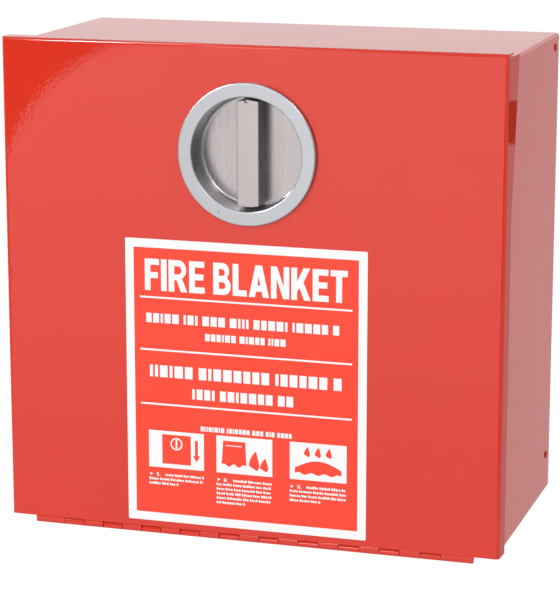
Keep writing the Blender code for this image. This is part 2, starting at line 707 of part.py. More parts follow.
def make_blanket(cloth, silver):
    """The folded blanket, standing on the back panel's lower flange, and its two silver grip pockets."""
    half = CASE_SIDE - SHEET - BLANKET_SIDE_ROOM
    foot = BOTTOM + 2 * (SHEET + TOUCH_GAP)
    front = FRONT + BLANKET_FRONT_ROOM
    back = -SHEET - BLANKET_BACK_ROOM
    head = CASE_TOP - SHEET - BLANKET_HEAD_ROOM
    pack = round_block_shape((-half, front, foot), (half, back, head), BLANKET_EDGE, 3)
    add_object("blanket_folded", pack, cloth)
    pocket_back = front - TOUCH_GAP
    for name, side in (("grip_pocket_left", -1), ("grip_pocket_right", 1)):
        centre = side * POCKET_SPACING / 2
        low = (centre - POCKET_WIDTH / 2, pocket_back - POCKET_THICKNESS, BOTTOM + POCKET_FROM_BOTTOM)
        high = (centre + POCKET_WIDTH / 2, pocket_back, BOTTOM + POCKET_FROM_BOTTOM + POCKET_HEIGHT)
        add_object(name, round_block_shape(low, high, POCKET_THICKNESS / 3, 2), silver)


def make_cabinet():
    clear_scene()
    paint = finish_material("red_powder_coat", PAINT_RED, 0.28, 0.0)
    label_stock = finish_material("red_label", LABEL_RED, 0.45, 0.0)
    zinc = finish_material("satin_zinc", ZINC_GREY, 0.38, 0.9)
    steel = finish_material("zinc_plated_steel", STEEL_GREY, 0.35, 1.0)
    cloth = finish_material("blanket_cloth", BLANKET_GREY, 0.9, 0.0)
    silver = finish_material("silver_cloth", POCKET_SILVER, 0.4, 0.7)
    door_joint = joint_empty("door_axis", (0, PIN_Y, PIN_Z))
    latch_joint = joint_empty("latch_axis", (0, FRONT, LATCH_Z), door_joint)

    make_case(paint)
    make_back_panel(paint)
    make_rivets(paint)
    make_hinge(paint, steel, door_joint)
    make_door(paint, label_stock, door_joint)
    make_latch_housing(zinc, steel, door_joint)
    make_grip_bar(zinc, latch_joint)
    make_spindle(steel, latch_joint)
    make_stop_washer(steel, latch_joint)
    make_tongue(steel, latch_joint)
    make_tongue_fasteners(steel, latch_joint)
    make_blanket(cloth, silver)


make_cabinet()
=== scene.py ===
"""Fire blanket cabinet: the finished pieces of a wall cabinet and its folded blanket, with a small studio.

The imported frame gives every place. Lengths are in metres, the wall is the plane y = 0 and the door faces -Y.
"""

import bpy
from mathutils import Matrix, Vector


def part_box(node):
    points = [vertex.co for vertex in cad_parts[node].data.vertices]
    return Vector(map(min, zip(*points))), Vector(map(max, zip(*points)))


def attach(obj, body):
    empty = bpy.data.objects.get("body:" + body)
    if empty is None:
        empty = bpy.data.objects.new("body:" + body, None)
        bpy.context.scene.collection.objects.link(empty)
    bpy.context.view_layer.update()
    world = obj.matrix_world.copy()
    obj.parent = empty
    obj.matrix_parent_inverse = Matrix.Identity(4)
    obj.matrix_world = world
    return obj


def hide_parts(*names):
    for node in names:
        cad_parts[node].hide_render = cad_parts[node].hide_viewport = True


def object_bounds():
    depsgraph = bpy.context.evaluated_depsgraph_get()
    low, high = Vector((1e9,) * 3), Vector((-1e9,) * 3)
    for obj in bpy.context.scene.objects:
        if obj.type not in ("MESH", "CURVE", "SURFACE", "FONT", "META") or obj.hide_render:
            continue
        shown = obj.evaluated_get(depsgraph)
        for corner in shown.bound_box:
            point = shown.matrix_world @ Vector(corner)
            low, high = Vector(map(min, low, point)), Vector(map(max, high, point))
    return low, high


bl_info = {
    "name": "Fire blanket cabinet",
    "version": (1, 0, 0),
    "blender": (4, 5, 0),
    "location": "View3D > Sidebar > Cabinet",
    "description": "Builds the finished pieces of a fire blanket cabinet around its packed frame",
    "category": "Object",
}

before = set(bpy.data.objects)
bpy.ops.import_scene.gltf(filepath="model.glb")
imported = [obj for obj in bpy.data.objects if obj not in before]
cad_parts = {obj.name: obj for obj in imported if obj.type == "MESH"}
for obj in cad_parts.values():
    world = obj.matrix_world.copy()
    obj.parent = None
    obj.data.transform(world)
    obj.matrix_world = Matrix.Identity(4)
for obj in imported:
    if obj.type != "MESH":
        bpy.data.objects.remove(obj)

import math
import random
from contextlib import contextmanager

import bmesh
import bpy
from mathutils import Matrix, Vector

FRAME_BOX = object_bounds()
# Clearance between pieces that touch, and how far a cutter reaches past what it cuts
HAIR = 0.00002
OVERRUN = 0.004
# Corners closer than this are one corner
SAME_PLACE = 0.000001
# Height of the powder coat's ripples
RIPPLE_DEPTH = 0.00002
# Faces that differ by less than this lie in one plane
FLAT = math.radians(0.3)
# A face whose normal has this much of an axis looks along it
SQUARE_ON = 0.99
# The camera's place, its turn and its lens in millimetres
CAMERA_PLACE = (0.43975, -1.5016, 0.3129)
CAMERA_TURN = (math.pi / 2 - 0.2192, 0, 0.3023)
CAMERA_LENS = 146.5


def length(name, description, default):
    """A size in metres that is shown in the scene's unit."""
    return bpy.props.FloatProperty(
        name=name, description=description, default=default, min=0.0, precision=5, unit="LENGTH"
    )


def angle(name, description, degrees):
    """An angle, given in degrees."""
    return bpy.props.FloatProperty(
        name=name, description=description, default=math.radians(degrees), subtype="ANGLE"
    )


def colour(name, description, default):
    """A linear colour."""
    return bpy.props.FloatVectorProperty(
        name=name, description=description, default=default, size=3, min=0.0, max=1.0, subtype="COLOR"
    )


def whole(name, description, default):
    """A count."""
    return bpy.props.IntProperty(name=name, description=description, default=default, min=1)


class CabinetSizes(bpy.types.PropertyGroup):
    """Sizes of the folded steel, the hinge and the rivets."""

    sheet: length("Sheet", "Thickness of the folded steel", 0.0012)
    bend: length("Bend", "Outside radius of the folds", 0.0022)
    soft_edge: length("Painted edge", "Rounding that the paint gives a cut edge", 0.00015)
    top_flange: length("Top flange", "Depth of the door's top flange", 0.0124)
    side_flange: length("Side flange", "Depth of the door's side flanges, low down", 0.0129)
    side_flange_head: length("Side flange head", "Depth of the side flanges at their top", 0.0248)
    taper: length("Taper", "Length over which the side flanges narrow", 0.096)
    corner_slit: length("Corner slit", "Gap between the door's top and side flanges", 0.0006)
    splay: angle("Splay", "How far the door's side flanges open outwards", 2.5)
    front_lip: length("Front lip", "Lip round the case's opening", 0.012)
    foot_lip: length("Foot lip", "Lip along the opening's lower edge", 0.008)
    wall_hole: length("Wall hole", "Radius of the holes for wall screws", 0.0035)
    wall_hole_side: length("Wall hole from side", "From the case's side to a wall hole", 0.053)
    wall_hole_top: length("Wall hole from top", "From the case's top to the upper wall holes", 0.052)
    wall_hole_foot: length("Wall hole from foot", "From the case's foot to the lower wall holes", 0.060)
    rivet_hole: length("Rivet hole", "Radius of the rivets' holes", 0.0018)
    knuckle_pitch: length("Knuckle pitch", "Spacing of the hinge's knuckles", 0.0252)
    knuckle_gap: length("Knuckle gap", "Space between two knuckles", 0.0005)
    leaf: length("Leaf", "Thickness of the hinge's leaves", 0.0009)


class LatchSizes(bpy.types.PropertyGroup):
    """Sizes of the recessed latch."""

    recess: length("Recess", "Radius of the recess at its mouth", 0.034)
    draft: length("Draft", "How much smaller the recess is at its base", 0.0006)
    depth: length("Depth", "From the bezel's face to the recess's base", 0.0165)
    wall: length("Wall", "Thickness of the dish", 0.0015)
    bezel_proud: length("Bezel height", "How far the bezel stands off the door", 0.003)
    bezel_edge: length("Bezel edge", "Rounding of the bezel's outer edge", 0.0008)
    mouth_edge: length("Mouth edge", "Rounding between the bezel and the recess", 0.0007)
    base_fillet: length("Base fillet", "Fillet round the recess's base", 0.0016)
    spindle: length("Spindle", "Radius of the spindle", 0.004)
    bar_edge: length("Bar edge", "Rounding of the grip bar's edges", 0.0007)
    bar_notch: length("Bar notch", "Radius of the mark at the bar's upper end", 0.0018)
    stop: length("Stop", "Width of the two stops behind the dish", 0.003)
    stop_gap: length("Stop gap", "From the latch's centre lines to the stops", 0.0028)
    thread: length("Thread", "Outer radius of the spindle's thread", 0.0025)
    thread_pitch: length("Thread pitch", "Pitch of the spindle's thread", 0.0008)


class LabelSizes(bpy.types.PropertyGroup):
    """Sizes of the printed label."""

    border: length("Border", "White border round the red field", 0.0053)
    ink: length("Ink", "Thickness of a printed layer", 0.00006)
    corner: length("Corner", "Corner radius of the film", 0.0008)
    rule: length("Rule", "Height of the white rules", 0.0011)


class BlanketSizes(bpy.types.PropertyGroup):
    """The blanket's cut, how it is folded, and its pockets."""

    cut_width: length("Cut width", "Width of the blanket before it is folded", 1.6)
    cut_length: length("Cut length", "Length of the blanket before it is folded", 1.8)
    panels_across: whole("Panels across", "Panels that the first folding makes", 6)
    panels_up: whole("Panels up", "Panels that the second folding makes", 7)
    cloth: length("Cloth", "Thickness of the blanket's cloth", 0.0012)
    belly: length("Belly", "How far the panels bulge", 0.0016)
    sag: length("Sag", "How far the folds sag", 0.0022)
    wrinkle: length("Wrinkle", "Height of the small wrinkles", 0.0009)
    pocket_cloth: length("Pocket cloth", "Thickness of the silver cloth", 0.0006)
    stitch: length("Stitch", "Length of one stitch", 0.0032)
    thread: length("Thread", "Radius of the sewing thread", 0.00035)


class Finishes(bpy.types.PropertyGroup):
    """Colours of the cabinet's finishes."""

    paint: colour("Paint", "Red powder coat", (0.73, 0.037, 0.018))
    label_red: colour("Label red", "Red ink of the label", (1.0, 0.056, 0.022))
    label_white: colour("Label white", "White film and white ink", (0.97, 0.96, 0.96))
    zinc: colour("Zinc", "Silver lacquer of the latch", (0.48, 0.487, 0.511))
    # The base metal's pink tint is a painted reflection of the red door around the recess
    base_metal: colour("Base metal", "Brushed base of the recess", (0.47, 0.425, 0.425))
    steel: colour("Steel", "Zinc-plated steel", (0.60, 0.60, 0.61))
    blanket: colour("Blanket", "Glass-fibre cloth", (0.62, 0.60, 0.55))
    silver: colour("Silver", "Aluminised cloth", (0.70, 0.71, 0.73))
    thread: colour("Thread", "Sewing thread", (0.30, 0.30, 0.31))
    floor: colour("Floor", "Studio floor", (0.84, 0.84, 0.84))


def sizes_of(group):
    """One of the cabinet's groups of settings."""
    return getattr(bpy.context.scene, group)


# Modelling by hand


def set_active(obj):
    """Makes one object the only selected one and the active one."""
    bpy.ops.object.select_all(action="DESELECT")
    obj.select_set(True)
    bpy.context.view_layer.objects.active = obj


@contextmanager
def editing(obj):
    """Edit mode on one object."""
    set_active(obj)
    bpy.ops.object.mode_set(mode="EDIT")
    yield
    bpy.ops.object.mode_set(mode="OBJECT")


def pick(obj, kind, wanted):
    """Selects only the faces, edges or corners that are wanted, in edit mode."""
    bpy.ops.mesh.select_mode(type=kind)
    bpy.ops.mesh.select_all(action="DESELECT")
    shape = bmesh.from_edit_mesh(obj.data)
    parts = {"FACE": shape.faces, "EDGE": shape.edges, "VERT": shape.verts}[kind]
    for part in parts:
        if wanted(part):
            part.select_set(True)
    bmesh.update_edit_mesh(obj.data)


def middle(part):
    """The middle of an edge or a face."""
    return sum((vert.co for vert in part.verts), Vector()) / len(part.verts)


def new_piece(name):
    """Names the primitive that was just added, and its mesh."""
    obj = bpy.context.object
    obj.name = name
    obj.data.name = name
    return obj


def settle(obj):
    """Puts the object's place into its mesh."""
    set_active(obj)
    bpy.ops.object.transform_apply(location=True, rotation=True, scale=True)


def add_box(name, low, high):
    """A box between two corners."""
    low = Vector(low)
    high = Vector(high)
    bpy.ops.object.select_all(action="DESELECT")
    bpy.ops.mesh.primitive_cube_add(size=1, location=(low + high) / 2, scale=high - low)
    obj = new_piece(name)
    settle(obj)
    return obj


def add_rod(name, start, along, reach, radius, sides):
    """A round rod from a point, along a direction."""
    along = Vector(along).normalized()
    turn = along.to_track_quat("Z", "Y").to_euler()
    bpy.ops.object.select_all(action="DESELECT")
    bpy.ops.mesh.primitive_cylinder_add(
        vertices=sides,
        radius=radius,
        depth=reach,
        location=Vector(start) + along * reach / 2,
        rotation=turn,
    )
    obj = new_piece(name)
    settle(obj)
    return obj


def apply_modifiers(obj):
    set_active(obj)
    for modifier in list(obj.modifiers):
        bpy.ops.object.modifier_apply(modifier=modifier.name)


def work_with(obj, tool, operation="DIFFERENCE"):
    """Cuts, joins or trims a piece with a tool, which is used up."""
    boolean = obj.modifiers.new("tool", "BOOLEAN")
    boolean.operation = operation
    boolean.solver = "EXACT"
    boolean.object = tool
    apply_modifiers(obj)
    bpy.data.objects.remove(tool, do_unlink=True)


def thicken(obj, thickness, offset=-1.0):
    """Gives a folded surface its thickness, inwards unless told otherwise."""
    wall = obj.modifiers.new("wall", "SOLIDIFY")
    wall.thickness = thickness
    wall.offset = offset
    wall.use_even_offset = True
    apply_modifiers(obj)


def soften(obj, width, segments=2, angle=40):
    """Merges the faces that lie in one plane, and rounds the sharp edges."""
    with editing(obj):
        bpy.ops.mesh.select_all(action="SELECT")
        bpy.ops.mesh.dissolve_limited(angle_limit=FLAT)
    edge = obj.modifiers.new("soft edge", "BEVEL")
    edge.width = width
    edge.segments = segments
    edge.limit_method = "ANGLE"
    edge.angle_limit = math.radians(angle)
    apply_modifiers(obj)


def smooth(obj, angle=32):
    """Shades the bends and edges smooth, and keeps the large faces flat."""
    set_active(obj)
    bpy.ops.object.shade_smooth_by_angle(angle=math.radians(angle))
    even = obj.modifiers.new("flat faces", "WEIGHTED_NORMAL")
    even.weight = 100
    even.keep_sharp = True
    apply_modifiers(obj)


def face_out(obj):
    """Merges doubles and points the faces outwards."""
    with editing(obj):
        bpy.ops.mesh.select_all(action="SELECT")
        bpy.ops.mesh.remove_doubles(threshold=SAME_PLACE)
        bpy.ops.mesh.normals_make_consistent(inside=False)


def join_all(name, objs):
    """Joins pieces of one kind into one object."""
    bpy.ops.object.select_all(action="DESELECT")
    for obj in objs:
        obj.select_set(True)
    bpy.context.view_layer.objects.active = objs[0]
    if len(objs) > 1:
        bpy.ops.object.join()
    objs[0].name = name
    objs[0].data.name = name
    return objs[0]


def arc(centre, radius, start, end, steps):
    """Points on an arc, from one angle to another, in degrees."""
    points = []
    for step in range(steps + 1):
        angle = math.radians(start + (end - start) * step / steps)
        points.append((centre[0] + radius * math.cos(angle), centre[1] + radius * math.sin(angle)))
    return points


def turn_piece(name, outline, centre, sides):
    """Turns a closed outline of (radius, distance behind the centre) about an axis along +Y.

    A ring at the first point is extruded and resized along the outline, and its two ends are bridged.
    """
    centre = Vector(centre)
    first_radius, first_depth = outline[0]
    bpy.ops.object.select_all(action="DESELECT")
    bpy.ops.mesh.primitive_circle_add(
        vertices=sides,
        radius=first_radius,
        location=centre + Vector((0, first_depth, 0)),
        rotation=(math.pi / 2, 0, 0),
    )
    obj = new_piece(name)
    settle(obj)
    with editing(obj):
        bpy.ops.mesh.select_all(action="SELECT")
        radius, depth = first_radius, first_depth
        for next_radius, next_depth in outline[1:]:
            move = (0, next_depth - depth, 0)
            bpy.ops.mesh.extrude_region_move(TRANSFORM_OT_translate={"value": move})
            grow = next_radius / radius
            about = centre + Vector((0, next_depth, 0))
            bpy.ops.transform.resize(value=(grow, 1, grow), center_override=about)
            radius, depth = next_radius, next_depth
        pick(obj, "EDGE", lambda edge: edge.is_boundary)
        bpy.ops.mesh.bridge_edge_loops()
    face_out(obj)
    return obj


def finish_piece(obj, body, slot, material, *nodes):
    """Gives a piece its material, hides the frame's parts that it stands for, and hangs it from the body that
    it moves with.
    """
    if not obj.data.materials:
        obj.data.materials.append(material)
    if nodes:
        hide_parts(*nodes)
    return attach(obj, body)


# Materials


def add_node(tree, kind, inputs=None, **settings):
    """Adds a shader node, sets it, and feeds its inputs with values or with other nodes' outputs."""
    node = tree.nodes.new(kind)
    for name, value in settings.items():
        setattr(node, name, value)
    for name, value in (inputs or {}).items():
        if isinstance(value, bpy.types.NodeSocket):
            tree.links.new(value, node.inputs[name])
        else:
            node.inputs[name].default_value = value
    return node


def calculate(tree, operation, first, second=0.0):
    """A Math node's result."""
    node = add_node(tree, "ShaderNodeMath", {0: first, 1: second}, operation=operation)
    return node.outputs[0]


def remap(tree, value, low, high, to_low, to_high):
    """A value moved from one range to another, and kept inside it."""
    node = add_node(
        tree,
        "ShaderNodeMapRange",
        {"Value": value, "From Min": low, "From Max": high, "To Min": to_low, "To Max": to_high},
    )
    return node.outputs["Result"]


def mix_colours(tree, factor, first, second):
    node = add_node(tree, "ShaderNodeMix", {"Factor": factor}, data_type="RGBA")
    for socket, value in ((node.inputs[6], first), (node.inputs[7], second)):
        if isinstance(value, bpy.types.NodeSocket):
            tree.links.new(value, socket)
        else:
            socket.default_value = (*value[:3], 1.0)
    return node.outputs[2]


def noise(tree, vector, scale, detail=2.0, roughness=0.5):
    """A noise texture's grey value."""
    node = add_node(
        tree,
        "ShaderNodeTexNoise",
        {"Vector": vector, "Scale": scale, "Detail": detail, "Roughness": roughness},
    )
    return node.outputs["Fac"]


def start_group(name, inputs, outputs):
    """A node group with its sockets, and its two end nodes."""
    tree = bpy.data.node_groups.new(name, "ShaderNodeTree")
    for socket_name, kind, default in inputs:
        socket = tree.interface.new_socket(socket_name, in_out="INPUT", socket_type=f"NodeSocket{kind}")
        if default is not None:
            socket.default_value = default
    for socket_name, kind in outputs:
        tree.interface.new_socket(socket_name, in_out="OUTPUT", socket_type=f"NodeSocket{kind}")
    return tree, tree.nodes.new("NodeGroupInput"), tree.nodes.new("NodeGroupOutput")


def shared_group(name, build):
    """The node group of that name, built when it is first asked for."""
    return bpy.data.node_groups.get(name) or build(name)


def build_orange_peel(name):
    """The low, rounded ripples of powder coat, with a fine haze and slight tint changes."""
    tree, given, result = start_group(
        name,
        [("Vector", "Vector", None), ("Ripple Size", "Float", 0.0012)],
        [("Height", "Float"), ("Tint", "Float"), ("Haze", "Float")],
    )
    scale = calculate(tree, "DIVIDE", 1.0, given.outputs["Ripple Size"])
    ripples = noise(tree, given.outputs["Vector"], scale, detail=1.0)
    long_scale = calculate(tree, "MULTIPLY", scale, 0.22)
    swell = noise(tree, given.outputs["Vector"], long_scale, detail=1.0)
    small = calculate(tree, "MULTIPLY", ripples, 0.6)
    broad = calculate(tree, "MULTIPLY", swell, 0.2)
    tree.links.new(calculate(tree, "ADD", small, broad), result.inputs["Height"])
    tree.links.new(noise(tree, given.outputs["Vector"], 9.0, detail=3.0), result.inputs["Tint"])
    tree.links.new(noise(tree, given.outputs["Vector"], 38.0, detail=4.0), result.inputs["Haze"])
    return tree


def build_handling(name):
    """Rubbed haze and hair scratches from use."""
    tree, given, result = start_group(
        name,
        [("Vector", "Vector", None), ("Scratch Scale", "Float", 160.0)],
        [("Rubbed", "Float"), ("Scratch", "Float")],
    )
    wide = noise(tree, given.outputs["Vector"], 24.0, detail=5.0, roughness=0.6)
    tree.links.new(remap(tree, wide, 0.42, 0.72, 0.0, 1.0), result.inputs["Rubbed"])
    bent = add_node(
        tree,
        "ShaderNodeTexNoise",
        {"Vector": given.outputs["Vector"], "Scale": 30.0, "Detail": 1.0},
    )
    shifted = add_node(
        tree, "ShaderNodeVectorMath", {0: given.outputs["Vector"], 1: bent.outputs["Color"]}, operation="ADD"
    )
    cells = add_node(
        tree,
        "ShaderNodeTexVoronoi",
        {"Vector": shifted.outputs[0], "Scale": given.outputs["Scratch Scale"]},
        feature="DISTANCE_TO_EDGE",
    )
    line = remap(tree, cells.outputs["Distance"], 0.0, 0.02, 1.0, 0.0)
    tree.links.new(calculate(tree, "MULTIPLY", line, wide), result.inputs["Scratch"])
    return tree


def build_brushed(name):
    """Straight, fine lines along Z, as brushing leaves them."""
    tree, given, result = start_group(
        name,
        [("Vector", "Vector", None), ("Line Scale", "Float", 2600.0)],
        [("Height", "Float"), ("Streak", "Float")],
    )
    drawn = add_node(
        tree,
        "ShaderNodeVectorMath",
        {0: given.outputs["Vector"], 1: (1.0, 1.0, 0.03)},
        operation="MULTIPLY",
    )
    lines = noise(tree, drawn.outputs[0], given.outputs["Line Scale"], detail=3.0)
    tree.links.new(lines, result.inputs["Height"])
    broad = calculate(tree, "MULTIPLY", given.outputs["Line Scale"], 0.12)
    tree.links.new(noise(tree, drawn.outputs[0], broad, detail=2.0), result.inputs["Streak"])
    return tree


def build_cast_grain(name):
    """The fine, even grain of blasted and lacquered zinc, with a few pits."""
    tree, given, result = start_group(
        name,
        [("Vector", "Vector", None), ("Grain Scale", "Float", 2200.0)],
        [("Height", "Float"), ("Tint", "Float"), ("Pit", "Float")],
    )
    tree.links.new(
        noise(tree, given.outputs["Vector"], given.outputs["Grain Scale"], detail=2.0),
        result.inputs["Height"],
    )
    tree.links.new(noise(tree, given.outputs["Vector"], 70.0, detail=4.0), result.inputs["Tint"])
    spots = noise(tree, given.outputs["Vector"], 330.0, detail=1.0)
    tree.links.new(remap(tree, spots, 0.79, 0.82, 0.0, 1.0), result.inputs["Pit"])
    return tree


def build_weave(name):
    """A plain weave on cloth coordinates in metres: threads pass over and under one another."""
    tree, given, result = start_group(
        name,
        [("Vector", "Vector", None), ("Threads", "Float", 1000.0)],
        [("Height", "Float"), ("Gap", "Float"), ("Slub", "Float")],
    )
    apart = add_node(tree, "ShaderNodeSeparateXYZ", {"Vector": given.outputs["Vector"]})
    step = calculate(tree, "MULTIPLY", given.outputs["Threads"], math.pi)
    warp = calculate(tree, "SINE", calculate(tree, "MULTIPLY", apart.outputs["X"], step))
    weft = calculate(tree, "SINE", calculate(tree, "MULTIPLY", apart.outputs["Y"], step))
    over = calculate(tree, "MULTIPLY", warp, weft)
    high = calculate(tree, "ABSOLUTE", over)
    tree.links.new(calculate(tree, "POWER", high, 0.5), result.inputs["Height"])
    # Gap marks the hollows between crossing threads, which the cloth darkens as painted shade
    tree.links.new(remap(tree, high, 0.0, 0.35, 1.0, 0.0), result.inputs["Gap"])
    tree.links.new(noise(tree, given.outputs["Vector"], 60.0, detail=4.0), result.inputs["Slub"])
    return tree


def place_group(tree, name, build, vector, **values):
    """A shared group in a material, with its vector and its own values."""
    node = add_node(tree, "ShaderNodeGroup", node_tree=shared_group(name, build))
    tree.links.new(vector, node.inputs["Vector"])
    for socket, value in values.items():
        node.inputs[socket.replace("_", " ")].default_value = value
    return node


def start_material(name):
    """A material's node tree, its Principled shader and its object coordinates."""
    made = bpy.data.materials.new(name)
    made.use_nodes = True
    tree = made.node_tree
    shader = tree.nodes["Principled BSDF"]
    coordinates = add_node(tree, "ShaderNodeTexCoord")
    return made, tree, shader, coordinates


def bump(tree, shader, height, distance, strength=1.0):
    node = add_node(tree, "ShaderNodeBump", {"Height": height, "Distance": distance, "Strength": strength})
    tree.links.new(node.outputs["Normal"], shader.inputs["Normal"])


def powder_coat(name, tone):
    """Glossy red powder coat with orange peel, for one of the folded pieces."""
    made, tree, shader, coordinates = start_material(name)
    place = coordinates.outputs["Object"]
    peel = place_group(tree, "orange_peel", build_orange_peel, place, Ripple_Size=0.0018)
    handling = place_group(tree, "handling", build_handling, place, Scratch_Scale=34.0)
    dark = [share * 0.94 for share in tone]
    light = [min(1.0, share * 1.05) for share in tone]
    mixed = mix_colours(tree, peel.outputs["Tint"], dark, light)
    tree.links.new(mixed, shader.inputs["Base Color"])
    haze = remap(tree, peel.outputs["Haze"], 0.3, 0.7, 0.014, 0.030)
    rubbed = calculate(tree, "MULTIPLY", handling.outputs["Rubbed"], 0.010)
    tree.links.new(calculate(tree, "ADD", haze, rubbed), shader.inputs["Roughness"])
    shader.inputs["IOR"].default_value = 1.5
    bump(tree, shader, peel.outputs["Height"], RIPPLE_DEPTH)
    return made


def printed_film(name, tone, gloss):
    """Printed film: one ink, with the film's slight ripple and rubbing."""
    made, tree, shader, coordinates = start_material(name)
    place = coordinates.outputs["Object"]
    peel = place_group(tree, "orange_peel", build_orange_peel, place, Ripple_Size=0.004)
    handling = place_group(tree, "handling", build_handling, place, Scratch_Scale=60.0)
    faded = [share * 0.95 + 0.01 for share in tone]
    tree.links.new(mix_colours(tree, peel.outputs["Tint"], tone, faded), shader.inputs["Base Color"])
    worn = remap(tree, handling.outputs["Rubbed"], 0.0, 1.0, gloss, gloss + 0.08)
    tree.links.new(worn, shader.inputs["Roughness"])
    shader.inputs["Specular IOR Level"].default_value = 0.35
    bump(tree, shader, peel.outputs["Height"], 0.00003)
    return made


def lacquered_zinc(name, tone):
    """Cast zinc with a thin silver lacquer."""
    made, tree, shader, coordinates = start_material(name)
    place = coordinates.outputs["Object"]
    grain = place_group(tree, "cast_grain", build_cast_grain, place, Grain_Scale=1500.0)
    handling = place_group(tree, "handling", build_handling, place, Scratch_Scale=90.0)
    dark = [share * 0.93 for share in tone]
    clean = mix_colours(tree, grain.outputs["Tint"], dark, tone)
    pitted = mix_colours(tree, grain.outputs["Pit"], clean, (0.24, 0.24, 0.25))
    tree.links.new(pitted, shader.inputs["Base Color"])
    worn = remap(tree, handling.outputs["Rubbed"], 0.0, 1.0, 0.27, 0.33)
    tree.links.new(worn, shader.inputs["Roughness"])
    shader.inputs["Metallic"].default_value = 0.85
    bump(tree, shader, grain.outputs["Height"], 0.00002)
    return made


def brushed_base():
    """Bare brushed metal at the bottom of the recess. Its tone's pink tint is a painted reflection of the red
    door around it.
    """
    tone = sizes_of("cabinet_finishes").base_metal
    made, tree, shader, coordinates = start_material("brushed_base")
    place = coordinates.outputs["Object"]
    lines = place_group(tree, "brushed", build_brushed, place, Line_Scale=2400.0)
    dark = [share * 0.88 for share in tone]
    light = [min(1.0, share * 1.08) for share in tone]
    tree.links.new(mix_colours(tree, lines.outputs["Streak"], dark, light), shader.inputs["Base Color"])
    tree.links.new(remap(tree, lines.outputs["Height"], 0.3, 0.7, 0.20, 0.30), shader.inputs["Roughness"])
    shader.inputs["Metallic"].default_value = 0.95
    shader.inputs["Anisotropic"].default_value = 0.4
    bump(tree, shader, lines.outputs["Height"], 0.000012)
    return made


def plated_steel():
    """Zinc-plated steel with a faint bluish bloom."""
    tone = sizes_of("cabinet_finishes").steel
    made, tree, shader, coordinates = start_material("zinc_plated_steel")
    place = coordinates.outputs["Object"]
    grain = place_group(tree, "cast_grain", build_cast_grain, place, Grain_Scale=2600.0)
    handling = place_group(tree, "handling", build_handling, place, Scratch_Scale=220.0)
    bloom = [share * shift for share, shift in zip(tone, (0.84, 0.90, 0.98))]
    tree.links.new(mix_colours(tree, grain.outputs["Tint"], tone, bloom), shader.inputs["Base Color"])
    worn = remap(tree, handling.outputs["Rubbed"], 0.0, 1.0, 0.22, 0.36)
    tree.links.new(worn, shader.inputs["Roughness"])
    shader.inputs["Metallic"].default_value = 1.0
    bump(tree, shader, grain.outputs["Height"], 0.000008)
    return made


def woven_cloth(name, tone, cut, threads, gloss, metallic, relief):
    """Woven cloth. Its UV map covers the cut once, so the weave follows the threads at their real size."""
    made, tree, shader, coordinates = start_material(name)
    flat = add_node(
        tree,
        "ShaderNodeMapping",
        {"Vector": coordinates.outputs["UV"], "Scale": (cut[0], cut[1], 1.0)},
    )
    weave = place_group(tree, "plain_weave", build_weave, flat.outputs["Vector"], Threads=threads)
    # The gaps between threads take this darker tone: painted shade in the weave's hollows
    dark = [share * 0.55 for share in tone]
    light = [min(1.0, share * 1.1) for share in tone]
    slub = mix_colours(tree, weave.outputs["Slub"], [share * 0.86 for share in tone], light)
    tree.links.new(mix_colours(tree, weave.outputs["Gap"], slub, dark), shader.inputs["Base Color"])
    rough = remap(tree, weave.outputs["Slub"], 0.3, 0.7, gloss, gloss + 0.1)
    tree.links.new(rough, shader.inputs["Roughness"])
    shader.inputs["Metallic"].default_value = metallic
    shader.inputs["Sheen Weight"].default_value = 0.15 if metallic == 0.0 else 0.0
    bump(tree, shader, weave.outputs["Height"], relief)
    return made


def get_material(name):
    """A finish by name, made when it is first asked for."""
    if name in bpy.data.materials:
        return bpy.data.materials[name]
    tones = sizes_of("cabinet_finishes")
    blanket = sizes_of("blanket_sizes")
    makers = {
        "door_powder_coat": lambda: powder_coat("door_powder_coat", tones.paint),
        "case_powder_coat": lambda: powder_coat("case_powder_coat", tones.paint),
        "white_print": lambda: printed_film("white_print", tones.label_white, 0.34),
        "red_print": lambda: printed_film("red_print", tones.label_red, 0.30),
        "lacquered_zinc": lambda: lacquered_zinc("lacquered_zinc", tones.zinc),
        # The grip bar's zinc takes the base metal's pink tone, a painted reflection of the red door
        "zinc_with_painted_reflection": lambda: lacquered_zinc("zinc_with_painted_reflection", tones.base_metal),
        "brushed_base": brushed_base,
        "zinc_plated_steel": plated_steel,
        "blanket_cloth": lambda: woven_cloth(
            "blanket_cloth", tones.blanket, (blanket.cut_width, blanket.cut_length), 900.0, 0.78, 0.0, 0.0003
        ),
        "silver_cloth": lambda: woven_cloth(
            "silver_cloth", tones.silver, pocket_cut(), 1400.0, 0.34, 0.7, 0.00008
        ),
        "sewing_thread": lambda: printed_film("sewing_thread", tones.thread, 0.62),
    }
    return makers[name]()


# Folded steel


def faces_to(axis, side):
    """A test for faces that look along an axis, towards one side."""
    return lambda face: face.normal[axis] * side > SQUARE_ON


def fold_edges(obj, radius, wanted):
    """Rounds the folds between faces of a folded surface."""
    pick(obj, "EDGE", lambda edge: not edge.is_boundary and wanted(edge))
    bpy.ops.mesh.bevel(offset=radius, segments=8, profile=0.5, affect="EDGES")


def flank(face):
    """A test for faces that look left or right."""
    return abs(face.normal.x) > SQUARE_ON


def trim(obj, wanted, place, direction, clear=True):
    """Cuts the wanted faces along a plane, and takes away those that lie beyond it."""
    place = Vector(place)
    direction = Vector(direction)
    pick(obj, "FACE", wanted)
    bpy.ops.mesh.bisect(plane_co=place, plane_no=direction)
    if clear:
        pick(obj, "FACE", lambda face: wanted(face) and (middle(face) - place).dot(direction) > 0)
        bpy.ops.mesh.delete(type="FACE")


def rivet_nodes():
    return [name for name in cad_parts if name.startswith("rivet_")]


